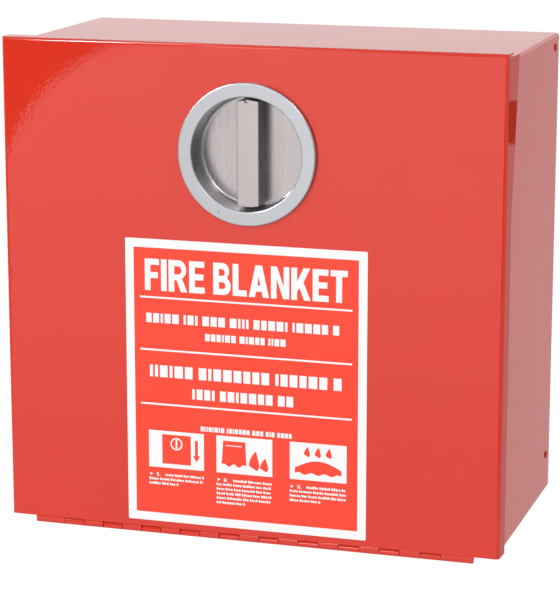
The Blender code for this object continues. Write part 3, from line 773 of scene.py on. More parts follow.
def drill_rivets(obj):
    """Holes where the rivets pass through."""
    radius = sizes_of("cabinet_sizes").rivet_hole
    for name in rivet_nodes():
        low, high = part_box(name)
        centre = (low + high) / 2
        start = (low.x - OVERRUN, centre.y, centre.z)
        work_with(obj, add_rod("drill", start, (1, 0, 0), high.x - low.x + 2 * OVERRUN, radius, 32))


class CABINET_OT_door(bpy.types.Operator):
    """Folds the door from one sheet, with its flanges, corner slits and latch hole"""

    bl_idname = "cabinet.make_door"
    bl_label = "Door"

    def execute(self, context):
        sizes = sizes_of("cabinet_sizes")
        low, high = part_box("door_panel")
        door = add_box("door", low, high)
        head = high.z - sizes.sheet - 1.5 * sizes.corner_slit
        narrow = head - sizes.taper
        behind = low.y + sizes.top_flange
        slant = Vector((0, sizes.taper, sizes.side_flange - sizes.side_flange_head))
        with editing(door):
            pick(door, "FACE", lambda face: face.normal.y > 0.9 or face.normal.z < -0.9)
            bpy.ops.mesh.delete(type="FACE")
            fold_edges(door, sizes.bend, lambda edge: all(v.co.y < low.y + HAIR for v in edge.verts))
            trim(door, faces_to(2, 1), (0, behind, 0), (0, 1, 0))
            trim(door, flank, (0, behind, 0), (0, 1, 0), clear=False)
            trim(door, lambda face: flank(face) and middle(face).y > behind, (0, 0, head), (0, 0, 1))
            trim(door, flank, (0, 0, narrow), (0, 0, 1), clear=False)
            edge_y = low.y + sizes.side_flange
            trim(door, lambda face: flank(face) and middle(face).z > narrow, (0, edge_y, narrow), slant)
            trim(door, lambda face: flank(face) and middle(face).z < narrow, (0, edge_y, 0), (0, 1, 0))
        thicken(door, sizes.sheet)
        slit_top = high.z - sizes.sheet
        for side in (-1, 1):
            edge = side * high.x
            inner = edge - side * (sizes.sheet + HAIR)
            outer = edge + side * OVERRUN
            slit_low = (min(inner, outer), low.y + sizes.bend, slit_top - sizes.corner_slit)
            slit_high = (max(inner, outer), behind + OVERRUN, slit_top + HAIR)
            work_with(door, add_box("slit", slit_low, slit_high))
            below = slit_top - sizes.corner_slit / 2
            fold = Vector((edge, low.y + sizes.bend, 0))

            def past_fold(vert):
                on_flange = vert.co.x * side > high.x - sizes.sheet - HAIR
                return on_flange and vert.co.y > fold.y + HAIR and vert.co.z < below

            with editing(door):
                pick(door, "VERT", past_fold)
                bpy.ops.transform.rotate(value=side * sizes.splay, orient_axis="Z", center_override=fold)
        axis = latch_axis()
        latch = sizes_of("latch_sizes")
        start = (axis.x, low.y - OVERRUN, axis.z)
        hole = latch.recess + latch.wall + 2 * HAIR
        work_with(door, add_rod("hole", start, (0, 1, 0), 3 * OVERRUN, hole, 128))
        soften(door, sizes.soft_edge)
        smooth(door)
        finish_piece(door, "door", "door_paint", get_material("door_powder_coat"), "door_panel")
        return {"FINISHED"}


class CABINET_OT_case(bpy.types.Operator):
    """Folds the case's top, sides and foot, with the lip round its opening"""

    bl_idname = "cabinet.make_case"
    bl_label = "Case"

    def execute(self, context):
        sizes = sizes_of("cabinet_sizes")
        low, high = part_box("cabinet_case")
        case = add_box("case", low, high)
        lip = sizes.front_lip - sizes.bend
        with editing(case):
            pick(case, "FACE", faces_to(1, 1))
            bpy.ops.mesh.delete(type="FACE")
            fold_edges(case, sizes.bend, lambda edge: True)
            # The front face is inset by the lip, and its lower edge then drops to the foot lip
            pick(case, "FACE", lambda face: face.normal.y < -SQUARE_ON and face.calc_area() > 0.01)
            bpy.ops.mesh.inset(thickness=lip)
            shape = bmesh.from_edit_mesh(case.data)
            foot = [vert for face in shape.faces if face.select for vert in face.verts if vert.co.z < 0]
            drop = foot[0].co.z - (low.z + sizes.foot_lip)
            opening = [vert.index for vert in foot]
            pick(case, "VERT", lambda vert: vert.index in opening)
            bpy.ops.transform.translate(value=(0, 0, -drop))
            pick(case, "FACE", lambda face: face.normal.y < -SQUARE_ON and face.calc_area() > 0.05)
            bpy.ops.mesh.delete(type="FACE")
        thicken(case, sizes.sheet)
        drill_rivets(case)
        soften(case, sizes.soft_edge)
        smooth(case)
        finish_piece(case, "cabinet", "case_paint", get_material("case_powder_coat"), "cabinet_case")
        return {"FINISHED"}


class CABINET_OT_back(bpy.types.Operator):
    """Folds the back panel, a tray with holes for four wall screws"""

    bl_idname = "cabinet.make_back"
    bl_label = "Back panel"

    def execute(self, context):
        sizes = sizes_of("cabinet_sizes")
        low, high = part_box("back_panel")
        case_low, case_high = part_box("cabinet_case")
        panel = add_box("back", low, high)
        with editing(panel):
            pick(panel, "FACE", faces_to(1, -1))
            bpy.ops.mesh.delete(type="FACE")
            fold_edges(panel, sizes.bend, lambda edge: True)
        thicken(panel, sizes.sheet)
        drill_rivets(panel)
        for height in (case_high.z - sizes.wall_hole_top, case_low.z + sizes.wall_hole_foot):
            for side in (-1, 1):
                across = side * (case_high.x - sizes.wall_hole_side)
                start = (across, -OVERRUN, height)
                work_with(panel, add_rod("drill", start, (0, 1, 0), 2 * OVERRUN, sizes.wall_hole, 48))
        soften(panel, sizes.soft_edge)
        smooth(panel)
        finish_piece(panel, "cabinet", "case_paint", get_material("case_powder_coat"), "back_panel")
        return {"FINISHED"}


# Hinge


def knuckle_spans():
    """Where the case's and the door's knuckles lie along X. The door's start and end the row."""
    sizes = sizes_of("cabinet_sizes")
    pin_low, pin_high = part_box("hinge_pin")
    pitch = sizes.knuckle_pitch
    count = int((pin_high.x - pin_low.x - pitch / 4) / pitch)
    centres = [(number - (count - 1) / 2) * pitch for number in range(count)]
    of_case = [(x - pitch / 4, x + pitch / 4) for x in centres]
    ends = [pin_low.x] + [x for span in of_case for x in span] + [pin_high.x]
    return of_case, list(zip(ends[0::2], ends[1::2]))


def roll_leaf(name, plate, path, spans, pin, turn):
    """A hinge leaf: a plate whose tabs run along a path and are rolled round the pin.

    The plate is a strip at half its thickness, given by its far edge and its near edge as (y, z).
    """
    sizes = sizes_of("cabinet_sizes")
    gap = sizes.knuckle_gap / 2
    strips = []
    pin_low, pin_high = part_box("hinge_pin")
    for start, end in [(pin_low.x, pin_high.x)] + spans:
        whole_strip = (start, end) == (pin_low.x, pin_high.x)
        trimmed = 0.0 if whole_strip else gap
        bpy.ops.object.select_all(action="DESELECT")
        bpy.ops.mesh.primitive_plane_add(size=1)
        strip = bpy.context.object
        (far_y, far_z), (near_y, near_z) = plate
        ends = ((start + trimmed, far_y, far_z), (end - trimmed, near_y, near_z))
        for vert in strip.data.vertices:
            along = ends[vert.co.x > 0][0]
            corner = ends[vert.co.y > 0]
            vert.co = (along, corner[1], corner[2])
        if not whole_strip:
            here = Vector((0, near_y, near_z))

            def at_end(edge):
                return all((vert.co - here).yz.length < HAIR for vert in edge.verts)

            with editing(strip):
                pick(strip, "EDGE", at_end)
                for y, z in path:
                    move = Vector((0, y, z)) - here
                    bpy.ops.mesh.extrude_region_move(TRANSFORM_OT_translate={"value": move})
                    here += move
                bpy.ops.mesh.spin(steps=22, angle=math.radians(turn), center=pin, axis=(-1, 0, 0))
        strips.append(strip)
    for strip in strips:
        face_out(strip)
        thicken(strip, sizes.leaf, offset=0.0)
    leaf = strips[0]
    for strip in strips[1:]:
        work_with(leaf, strip, "UNION")
    leaf.name = name
    leaf.data.name = name
    soften(leaf, sizes.soft_edge / 2, segments=1, angle=50)
    smooth(leaf)
    return leaf


class CABINET_OT_hinge(bpy.types.Operator):
    """Rolls the two leaves of the piano hinge round its pin"""

    bl_idname = "cabinet.make_hinge"
    bl_label = "Hinge"

    def execute(self, context):
        sizes = sizes_of("cabinet_sizes")
        pin_low, pin_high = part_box("hinge_pin")
        pin = (pin_low + pin_high) / 2
        case_low, case_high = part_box("hinge_leaf_case")
        door_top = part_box("hinge_leaf_door")[1].z
        reach = pin.y - case_low.y - sizes.leaf / 2
        of_case, of_door = knuckle_spans()
        shelf = case_high.z - sizes.leaf / 2
        plate = ((case_high.y, shelf), (pin.y + reach + sizes.leaf, shelf))
        case_leaf = roll_leaf("hinge_case_leaf", plate, [(pin.y, pin.z + reach)], of_case, pin, 338)
        finish_piece(
            case_leaf, "cabinet", "case_paint", get_material("case_powder_coat"), "hinge_leaf_case"
        )
        panel_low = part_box("door_panel")[0]
        upright = panel_low.y + sizes.sheet + HAIR + sizes.leaf / 2
        front = pin.y - reach
        foot = panel_low.z
        plate = ((upright, door_top), (upright, foot + sizes.leaf))
        crank = [
            (upright - sizes.leaf / 4, foot + sizes.leaf / 3),
            (front + sizes.leaf / 4, foot - sizes.leaf / 3),
            (front, foot - sizes.leaf),
            (front, pin.z),
        ]
        door_leaf = roll_leaf("hinge_door_leaf", plate, crank, of_door, pin, 268)
        finish_piece(door_leaf, "door", "door_paint", get_material("door_powder_coat"), "hinge_leaf_door")
        return {"FINISHED"}


# Latch


def latch_axis():
    """The place where the latch's axis meets the bezel's face."""
    ring_low, ring_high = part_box("latch_lock_ring")
    centre = (ring_low + ring_high) / 2
    return Vector((centre.x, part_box("latch_dish")[0].y, centre.z))


class CABINET_OT_dish(bpy.types.Operator):
    """Turns the recessed dish with its bezel, and adds the two stops behind it"""

    bl_idname = "cabinet.make_dish"
    bl_label = "Latch dish"

    def execute(self, context):
        latch = sizes_of("latch_sizes")
        axis = latch_axis()
        low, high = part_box("latch_dish")
        outside = (high.x - low.x) / 2
        back = latch.bezel_proud - HAIR
        collar = latch.recess + latch.wall
        base = latch.recess - latch.draft
        rear = latch.depth + latch.wall
        bore = latch.spindle + 8 * HAIR
        edge = latch.bezel_edge
        mouth = latch.mouth_edge
        fillet = latch.base_fillet
        outline = arc((latch.recess + mouth, mouth), mouth, 180, 270, 6)
        outline += arc((outside - edge, edge), edge, 270, 360, 6)
        outline += [
            (outside, back),
            (collar, back),
            (collar, rear - mouth / 2),
            (collar - mouth / 2, rear),
            (bore, rear),
            (bore, latch.depth),
        ]
        outline += arc((base - fillet, latch.depth - fillet), fillet, 90, 0, 8)
        dish = turn_piece("latch_cup", outline, axis, 144)
        tab_reach = axis.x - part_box("stop_washer")[0].x
        front = axis.y + rear - latch.wall / 2
        near, far = latch.stop_gap, latch.stop_gap + latch.stop
        stops = [
            ((-tab_reach, -far), (-tab_reach + latch.stop, -near)),
            ((near, tab_reach - latch.stop), (far, tab_reach)),
        ]
        for (left, foot), (right, head) in stops:
            stop_low = (axis.x + left, front, axis.z + foot)
            stop_high = (axis.x + right, high.y, axis.z + head)
            work_with(dish, add_box("stop", stop_low, stop_high), "UNION")
        smooth(dish, 28)
        dish.data.materials.append(get_material("lacquered_zinc"))
        dish.data.materials.append(get_material("brushed_base"))
        base_depth = axis.y + latch.depth
        for face in dish.data.polygons:
            on_base = abs(face.center.y - base_depth) < 3 * HAIR and face.normal.y < -0.9
            face.material_index = 1 if on_base else 0
        finish_piece(dish, "door", "latch_zinc", get_material("lacquered_zinc"), "latch_dish")
        return {"FINISHED"}


class CABINET_OT_grip_bar(bpy.types.Operator):
    """Shapes the upright grip bar, whose ends follow the recess"""

    bl_idname = "cabinet.make_grip_bar"
    bl_label = "Grip bar"

    def execute(self, context):
        latch = sizes_of("latch_sizes")
        axis = latch_axis()
        low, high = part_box("grip_bar")
        radius = (high.z - low.z) / 2
        bar = add_box("latch_bar", low - Vector((0, 0, OVERRUN)), high + Vector((0, 0, OVERRUN)))
        start = (axis.x, low.y - OVERRUN, axis.z)
        round_ends = add_rod("ends", start, (0, 1, 0), high.y - low.y + 2 * OVERRUN, radius, 160)
        work_with(bar, round_ends, "INTERSECT")
        soften(bar, latch.bar_edge, segments=4, angle=50)
        notch_start = (axis.x - latch.bar_notch / 3, low.y - OVERRUN, high.z)
        notch = add_rod("notch", notch_start, (0, 1, 0), OVERRUN + latch.bar_notch, latch.bar_notch, 24)
        work_with(bar, notch)
        bore_start = (axis.x, high.y + OVERRUN, axis.z)
        bore_reach = OVERRUN + 2 * latch.spindle
        bore = add_rod("bore", bore_start, (0, -1, 0), bore_reach, latch.spindle + 8 * HAIR, 48)
        work_with(bar, bore)
        smooth(bar, 25)
        # Its zinc is tinted pink, a painted reflection of the red door around the recess
        finish_piece(bar, "latch", "latch_zinc", get_material("zinc_with_painted_reflection"), "grip_bar")
        return {"FINISHED"}


class CABINET_OT_latch_back(bpy.types.Operator):
    """Makes the lock ring, the threaded spindle and the nut behind the door"""

    bl_idname = "cabinet.make_latch_back"
    bl_label = "Latch fixings"

    def execute(self, context):
        latch = sizes_of("latch_sizes")
        axis = latch_axis()
        steel = get_material("zinc_plated_steel")

        low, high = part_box("latch_lock_ring")
        outside = (high.x - low.x) / 2
        inside = latch.recess + latch.wall + 4 * HAIR
        thickness = high.y - low.y
        edge = latch.mouth_edge
        outline = [(inside, 0), (outside, 0)]
        outline += arc((outside - edge, thickness - edge), edge, 0, 90, 5)
        outline += [(inside + edge, thickness), (inside, thickness - edge)]
        ring = turn_piece("lock_ring", outline, (axis.x, low.y, axis.z), 128)
        notch = (outside - inside) / 2
        for quarter in range(4):
            angle = math.radians(45 + 90 * quarter)
            outward = Vector((math.sin(angle), 0, math.cos(angle)))
            centre = Vector((axis.x, low.y, axis.z)) + outward * outside
            tool = add_box("notch", (-notch / 2, -OVERRUN, -notch), (notch / 2, 2 * OVERRUN, notch))
            tool.data.transform(Matrix.Translation(centre) @ Matrix.Rotation(angle, 4, "Y"))
            work_with(ring, tool)
        smooth(ring)
        finish_piece(ring, "door", "plated_steel", steel, "latch_lock_ring")

        low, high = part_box("spindle")
        spring_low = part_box("spring_washer")[0]
        square = latch.spindle * 0.7
        washer_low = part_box("stop_washer")[0]
        shank_reach = washer_low.y - low.y - HAIR
        shank = add_rod("latch_spindle", (axis.x, low.y, axis.z), (0, 1, 0), shank_reach, latch.spindle, 64)
        square_low = (axis.x - square, washer_low.y - square, axis.z - square)
        square_high = (axis.x + square, spring_low.y - HAIR, axis.z + square)
        work_with(shank, add_box("square", square_low, square_high), "UNION")
        groove = latch.thread_pitch / 4
        outline = [(latch.thread / 3, high.y - spring_low.y + latch.thread), (latch.thread / 3, 0)]
        depth = 0.0
        reach = high.y - spring_low.y + latch.thread
        while depth < reach - 3 * groove:
            outline += [(latch.thread - groove, depth), (latch.thread - groove / 2, depth + groove)]
            outline += [(latch.thread, depth + 2 * groove), (latch.thread - groove / 2, depth + 3 * groove)]
            depth += latch.thread_pitch
        outline.append((latch.thread - 2 * groove, reach))
        start = (axis.x, spring_low.y - latch.thread, axis.z)
        tail = turn_piece("tail", outline, start, 40)
        core = add_rod("core", start, (0, 1, 0), reach - HAIR, latch.thread / 2, 32)
        work_with(tail, core, "UNION")
        work_with(shank, tail, "UNION")
        smooth(shank, 25)
        finish_piece(shank, "latch", "plated_steel", steel, "spindle")

        low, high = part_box("tongue_nut")
        middle_y = (low.y + high.y) / 2
        corner = (high.x - low.x) / 2
        nut = add_rod("nut", (axis.x, low.y, axis.z), (0, 1, 0), high.y - low.y, corner, 6)
        bore = latch.thread + HAIR
        # Both ends are chamfered by turning. The shares are of the nut's corner radius.
        chamfer = turn_piece(
            "chamfer",
            [
                (bore, low.y - middle_y - HAIR),
                (corner * 0.86, low.y - middle_y - HAIR),
                (corner * 1.02, low.y - middle_y + corner * 0.12),
                (corner * 1.02, high.y - middle_y - corner * 0.12),
                (corner * 0.86, high.y - middle_y + HAIR),
                (bore, high.y - middle_y + HAIR),
            ],
            (axis.x, middle_y, axis.z),
            64,
        )
        work_with(nut, chamfer, "INTERSECT")
        smooth(nut, 25)
        finish_piece(nut, "latch", "plated_steel", steel, "tongue_nut")
        finishes = dict.fromkeys(("hinge_pin", "stop_washer", "tongue", "spring_washer"), steel)
        finishes.update(dict.fromkeys(rivet_nodes(), get_material("case_powder_coat")))
        for name, finish in finishes.items():
            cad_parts[name].data.materials.clear()
            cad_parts[name].data.materials.append(finish)
        return {"FINISHED"}


# Label


def label_frame():
    """The film's place on the door: its lower left corner and its width and height."""
    low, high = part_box("label")
    return low.x, low.z, high.x - low.x, high.z - low.z


def print_face(layer):
    """How far forward an ink layer lies. Layer 0 is the film itself."""
    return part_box("label")[1].y - layer * sizes_of("label_sizes").ink


def flat_print(name, outlines, layer):
    """Filled outlines of (across, up), from the label's lower left corner, as a thin layer of ink.

    An outline inside another one is a hole.
    """
    left, foot = label_frame()[:2]
    ink = sizes_of("label_sizes").ink
    data = bpy.data.curves.new(name, "CURVE")
    data.dimensions = "2D"
    data.fill_mode = "BOTH"
    data.extrude = ink / 2
    for points in outlines:
        spline = data.splines.new("POLY")
        spline.points.add(len(points) - 1)
        for point, (across, up) in zip(spline.points, points):
            point.co = (across, up, 0, 1)
        spline.use_cyclic_u = True
    obj = bpy.data.objects.new(name, data)
    bpy.context.scene.collection.objects.link(obj)
    set_active(obj)
    bpy.ops.object.convert(target="MESH")
    obj = bpy.context.object
    obj.data.transform(Matrix.Rotation(math.pi / 2, 4, "X"))
    obj.data.transform(Matrix.Translation((left, print_face(layer) - ink / 2, foot)))
    face_out(obj)
    return obj


def bar_points(left, foot, width, height, corner=0.0):
    """A rectangle's corners, rounded when a corner radius is given."""
    if corner <= 0:
        return [(left, foot), (left + width, foot), (left + width, foot + height), (left, foot + height)]
    points = arc((left + width - corner, foot + corner), corner, 270, 360, 4)
    points += arc((left + width - corner, foot + height - corner), corner, 0, 90, 4)
    points += arc((left + corner, foot + height - corner), corner, 90, 180, 4)
    points += arc((left + corner, foot + corner), corner, 180, 270, 4)
    return points


def heavy_letters():
    """Heavy block letters and numerals, one unit high: (width, outlines)."""
    bowl = arc((0.42, 0.28), 0.28, -90, 57, 9) + arc((0.39, 0.755), 0.245, -48, 90, 9)
    return {
        "A": (0.80, [
            [(0, 0), (0.24, 0), (0.29, 0.18), (0.51, 0.18), (0.56, 0), (0.80, 0), (0.53, 1), (0.27, 1)],
            [(0.34, 0.37), (0.46, 0.37), (0.40, 0.66)],
        ]),
        "B": (0.70, [
            [(0, 0)] + bowl + [(0, 1)],
            [(0.23, 0.19)] + arc((0.38, 0.295), 0.105, -90, 90, 6) + [(0.23, 0.40)],
            [(0.23, 0.60)] + arc((0.36, 0.705), 0.105, -90, 90, 6) + [(0.23, 0.81)],
        ]),
        "E": (0.62, [[
            (0, 0), (0.62, 0), (0.62, 0.19), (0.23, 0.19), (0.23, 0.41), (0.57, 0.41), (0.57, 0.60),
            (0.23, 0.60), (0.23, 0.81), (0.61, 0.81), (0.61, 1), (0, 1),
        ]]),
        "F": (0.58, [[
            (0, 0), (0.23, 0), (0.23, 0.39), (0.53, 0.39), (0.53, 0.58), (0.23, 0.58), (0.23, 0.81),
            (0.58, 0.81), (0.58, 1), (0, 1),
        ]]),
        "I": (0.23, [bar_points(0, 0, 0.23, 1)]),
        "K": (0.76, [[
            (0, 0), (0.23, 0), (0.23, 0.27), (0.32, 0.38), (0.50, 0), (0.76, 0), (0.48, 0.56),
            (0.74, 1), (0.48, 1), (0.23, 0.58), (0.23, 1), (0, 1),
        ]]),
        "L": (0.56, [[(0, 0), (0.56, 0), (0.56, 0.19), (0.23, 0.19), (0.23, 1), (0, 1)]]),
        "N": (0.72, [[
            (0, 0), (0.22, 0), (0.22, 0.62), (0.48, 0), (0.72, 0), (0.72, 1), (0.50, 1), (0.50, 0.38),
            (0.24, 1), (0, 1),
        ]]),
        "R": (0.75, [
            [(0, 0), (0.23, 0), (0.23, 0.37), (0.32, 0.37), (0.49, 0), (0.75, 0), (0.54, 0.42)]
            + arc((0.41, 0.70), 0.30, -52, 90, 12)
            + [(0, 1)],
            [(0.23, 0.55)] + arc((0.39, 0.68), 0.13, -90, 90, 8) + [(0.23, 0.81)],
        ]),
        "T": (0.66, [[
            (0.215, 0), (0.445, 0), (0.445, 0.81), (0.66, 0.81), (0.66, 1), (0, 1), (0, 0.81),
            (0.215, 0.81),
        ]]),
        "1": (0.38, [[(0.15, 0), (0.38, 0), (0.38, 1), (0.20, 1), (0, 0.84), (0, 0.62), (0.15, 0.72)]]),
        "2": (0.58, [[
            (0, 0), (0.58, 0), (0.58, 0.20), (0.27, 0.20), (0.58, 0.50), (0.58, 0.86), (0.43, 1),
            (0.14, 1), (0, 0.86), (0, 0.66), (0.22, 0.66), (0.22, 0.81), (0.36, 0.81), (0.36, 0.58),
            (0, 0.24),
        ]]),
        "3": (0.58, [[
            (0, 0), (0.43, 0), (0.58, 0.14), (0.58, 0.38), (0.47, 0.50), (0.58, 0.62), (0.58, 0.86),
            (0.43, 1), (0, 1), (0, 0.81), (0.35, 0.81), (0.35, 0.60), (0.14, 0.60), (0.14, 0.41),
            (0.35, 0.41), (0.35, 0.19), (0, 0.19),
        ]]),
        ".": (0.22, [bar_points(0, 0, 0.22, 0.22)]),
    }


def lettering(text, left, foot, width, height, between=0.075, space=0.34):
    """The outlines of a line of heavy letters that fills a width and a height."""
    letters = heavy_letters()
    runs = []
    across = 0.0
    for letter in text:
        if letter == " ":
            across += space - between
            continue
        wide, outlines = letters[letter]
        runs += [[(across + x, y) for x, y in outline] for outline in outlines]
        across += wide + between
    stretch = width / (across - between)
    return [[(left + x * stretch, foot + y * height) for x, y in run] for run in runs]


def blind_text(left, foot, width, height, draw, share, small_letters=False):
    """The outlines of a line of blocks that stands for lettering, in words of a few blocks each."""
    blocks = []
    across = left
    gap = height * 0.17
    end = left + width
    heights = (1.0, 0.76, 0.76, 0.76) if small_letters else (1.0,)
    while across < end - height * share:
        letters = draw.randint(3, 8)
        for letter in range(letters):
            wide = height * share * draw.choice((0.4, 0.9, 1.0, 1.0, 1.1))
            if across + wide > end:
                across = end
                break
            tall = height * (draw.choice(heights) if letter else 1.0)
            blocks.append(bar_points(across, foot, wide, tall))
            across += wide + gap
        across += height * 0.36
    return blocks


def wavy(left, right, level, swing, waves, steps):
    """Points along a wave from left to right."""
    points = []
    for step in range(steps + 1):
        share = step / steps
        points.append((left + (right - left) * share, level + swing * math.sin(math.tau * waves * share)))
    return points


def flame_points(left, foot, width, height):
    """One flame: a round foot and a tip that leans over."""
    points = []
    steps = 20
    for step in range(steps + 1):
        angle = math.radians(-60 + 240 * step / steps)
        rise = max(0.0, math.sin(angle))
        lean = 0.16 * width * rise ** 3
        squeeze = 1 - 0.55 * rise ** 1.5
        x = left + width / 2 + lean + width / 2 * math.cos(angle) * squeeze
        z = foot + height * 0.28 + (height * 0.72 if rise > 0 else height * 0.28) * math.sin(angle)
        points.append((x, z))
    return points


class CABINET_OT_label(bpy.types.Operator):
    """Prints the label: white film, a red field, a plain title, rules, blind text and three pictures"""

    bl_idname = "cabinet.make_label"
    bl_label = "Label"

    def execute(self, context):
        sizes = sizes_of("label_sizes")
        left, foot, width, height = label_frame()
        film_low = (left, print_face(0), foot)
        film_high = (left + width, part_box("door_panel")[0].y - HAIR, foot + height)
        film = add_box("label_film", film_low, film_high)
        with editing(film):
            pick(film, "EDGE", lambda edge: abs(edge.verts[0].co.y - edge.verts[1].co.y) > HAIR)
            bpy.ops.mesh.bevel(offset=sizes.corner, segments=5, affect="EDGES")
        smooth(film)
        field_low = (left + sizes.border, print_face(1), foot + sizes.border)
        field_high = (left + width - sizes.border, print_face(0), foot + height - sizes.border)
        field = add_box("label_red_field", field_low, field_high)
        with editing(field):
            pick(field, "EDGE", lambda edge: abs(edge.verts[0].co.y - edge.verts[1].co.y) > HAIR / 4)
            bpy.ops.mesh.bevel(offset=sizes.corner / 2, segments=3, affect="EDGES")

        # The layout below is in shares of a label 151 wide
        draw = random.Random(7)
        share = width / 151
        white = lettering("FIRE BLANKET", 12.4 * share, 144.6 * share, 126.6 * share, 19.4 * share)
        for level in (139.8, 107.4, 73.6):
            white.append(bar_points(9 * share, level * share, 133 * share, sizes.rule))
        lines = [
            (13.0, 124.8, 126.0, 5.8),
            (50.4, 115.6, 50.6, 4.4),
            (15.0, 91.2, 122.0, 7.4),
            (42.0, 78.8, 67.0, 6.4),
            (47.2, 59.3, 59.0, 3.0),
        ]
        for across, up, wide, tall in lines:
            white += blind_text(across * share, up * share, wide * share, tall * share, draw, 0.66)

        picture_wide = 35.4 * share
        picture_tall = 23.2 * share
        picture_foot = 34.4 * share
        pictures = [13.8 * share, 57.2 * share, 103.6 * share]
        for number, (across, rows) in enumerate(zip(pictures, (3, 6, 4)), 1):
            white.append(bar_points(across, picture_foot, picture_wide, picture_tall))
            line = 2.85 * share
            head = 28.6 * share
            white.append(
                [
                    (across + 0.6 * share, head + 0.3 * share),
                    (across + 2.6 * share, head + 1.3 * share),
                    (across + 0.6 * share, head + 2.3 * share),
                ]
            )
            start = across + 4.6 * share
            white += lettering(f"{number}.", start, head + 0.2 * share, 2.6 * share, 2.1 * share)
            for row in range(rows):
                start = across + (10.5 * share if row == 0 else 0.0)
                wide = across + picture_wide - start
                wide *= 0.55 if row == rows - 1 else 1.0
                up = head + 0.5 * share - row * line
                white += blind_text(start, up, wide, 1.6 * share, draw, 0.62, small_letters=True)

        first, second, third = pictures
        square = 18.4 * share
        square_left = first + 8.6 * share
        square_foot = picture_foot + 2.6 * share
        ring = (square_left + square / 2, square_foot + square - 5.6 * share)
        red = [
            bar_points(square_left, square_foot, square, square),
            arc(ring, 3.9 * share, 0, 350, 35),
            arc(ring, 3.0 * share, 0, 350, 35),
            bar_points(ring[0] - 0.6 * share, ring[1] - 2.7 * share, 1.2 * share, 5.4 * share),
        ]
        arrow_x = first + 30.6 * share
        arrow = [(-0.9, 18.5), (-0.9, 9.0), (-2.3, 9.0), (0, 5.0), (2.3, 9.0), (0.9, 9.0), (0.9, 18.5)]
        red.append([(arrow_x + x * share, picture_foot + z * share) for x, z in arrow])
        top = picture_foot + picture_tall - 3.0 * share
        cloth_left = second + 3.2 * share
        cloth_right = second + 19.0 * share
        hem = wavy(cloth_right, cloth_left, picture_foot + 5.0 * share, 0.9 * share, 2.5, 20)
        red.append([(cloth_left + 1.2 * share, top), (cloth_right - 0.6 * share, top)] + hem)
        red.append(bar_points(cloth_left + 2.6 * share, top - 3.2 * share, 10.4 * share, 0.55 * share))
        flame_foot = picture_foot + 2.4 * share
        for offset, wide, tall in ((20.6, 6.6, 12.5), (27.6, 5.2, 8.6)):
            red.append(flame_points(second + offset * share, flame_foot, wide * share, tall * share))
        cloth_left = third + 3.2 * share
        cloth_right = third + 32.2 * share
        mound = wavy(cloth_left, cloth_right, picture_foot + 7.4 * share, 4.8 * share, 0.5, 24)
        fringe = wavy(cloth_right, cloth_left, picture_foot + 4.0 * share, 0.7 * share, 3.5, 28)
        red.append(mound + fringe)
        flame_foot = picture_foot + 14.2 * share
        for offset in (8.8, 15.6, 22.4):
            red.append(flame_points(third + offset * share, flame_foot, 3.8 * share, 6.4 * share))
        white_ink = flat_print("label_white_ink", white, 2)
        red_ink = flat_print("label_red_ink", red, 3)
        finish_piece(film, "door", "label_print", get_material("white_print"), "label")
        finish_piece(field, "door", "label_print", get_material("red_print"))
        finish_piece(white_ink, "door", "label_print", get_material("white_print"))
        finish_piece(red_ink, "door", "label_print", get_material("red_print"))
        return {"FINISHED"}


# Blanket and pockets


def folded_path(panels, run, pitch, turn_steps, run_steps):
    """A zigzag of straight runs joined by half turns: (distance, along the run, across the runs, angle).

    The angle is the path's heading, from which its normal follows.
    """
    radius = pitch / 2
    straight = run - math.pi * radius
    path = []
    distance = 0.0
    for panel in range(panels):
        heading = 1 if panel % 2 == 0 else -1
        start = -heading * straight / 2
        for step in range(run_steps + 1):
            share = step / run_steps
            angle = 0.0 if heading == 1 else math.pi
            run_on = straight * share
            path.append((distance + run_on, start + heading * run_on, panel * pitch, angle))
        distance += straight
        if panel < panels - 1:
            for step in range(1, turn_steps):
                swing = math.pi * step / turn_steps
                angle = swing if heading == 1 else math.pi - swing
                along = heading * (straight / 2 + radius * math.sin(swing))
                across = panel * pitch + radius * (1 - math.cos(swing))
                path.append((distance + math.pi * radius * step / turn_steps, along, across, angle))
            distance += math.pi * radius
    return path


def cloth_grid(name, columns, rows, cut):
    """A grid of cloth with a UV map over its cut. Its corners carry their column and row."""
    bpy.ops.object.select_all(action="DESELECT")
    bpy.ops.mesh.primitive_grid_add(x_subdivisions=len(columns) - 1, y_subdivisions=len(rows) - 1, size=1)
    obj = new_piece(name)
    places = []
    for vert in obj.data.vertices:
        column = round((vert.co.x + 0.5) * (len(columns) - 1))
        row = round((vert.co.y + 0.5) * (len(rows) - 1))
        places.append((column, row))
    layer = obj.data.uv_layers.active or obj.data.uv_layers.new(name="cut")
    for loop in obj.data.loops:
        column, row = places[loop.vertex_index]
        layer.data[loop.index].uv = (columns[column] / cut[0], rows[row] / cut[1])
    return obj, places


def finish_cloth(obj, thickness):
    """Rounds a sheet of cloth and gives it its thickness, half to each side."""
    rounder = obj.modifiers.new("round", "SUBSURF")
    rounder.levels = 1
    rounder.render_levels = 1
    apply_modifiers(obj)
    thicken(obj, thickness, offset=0.0)
    smooth(obj, 60)


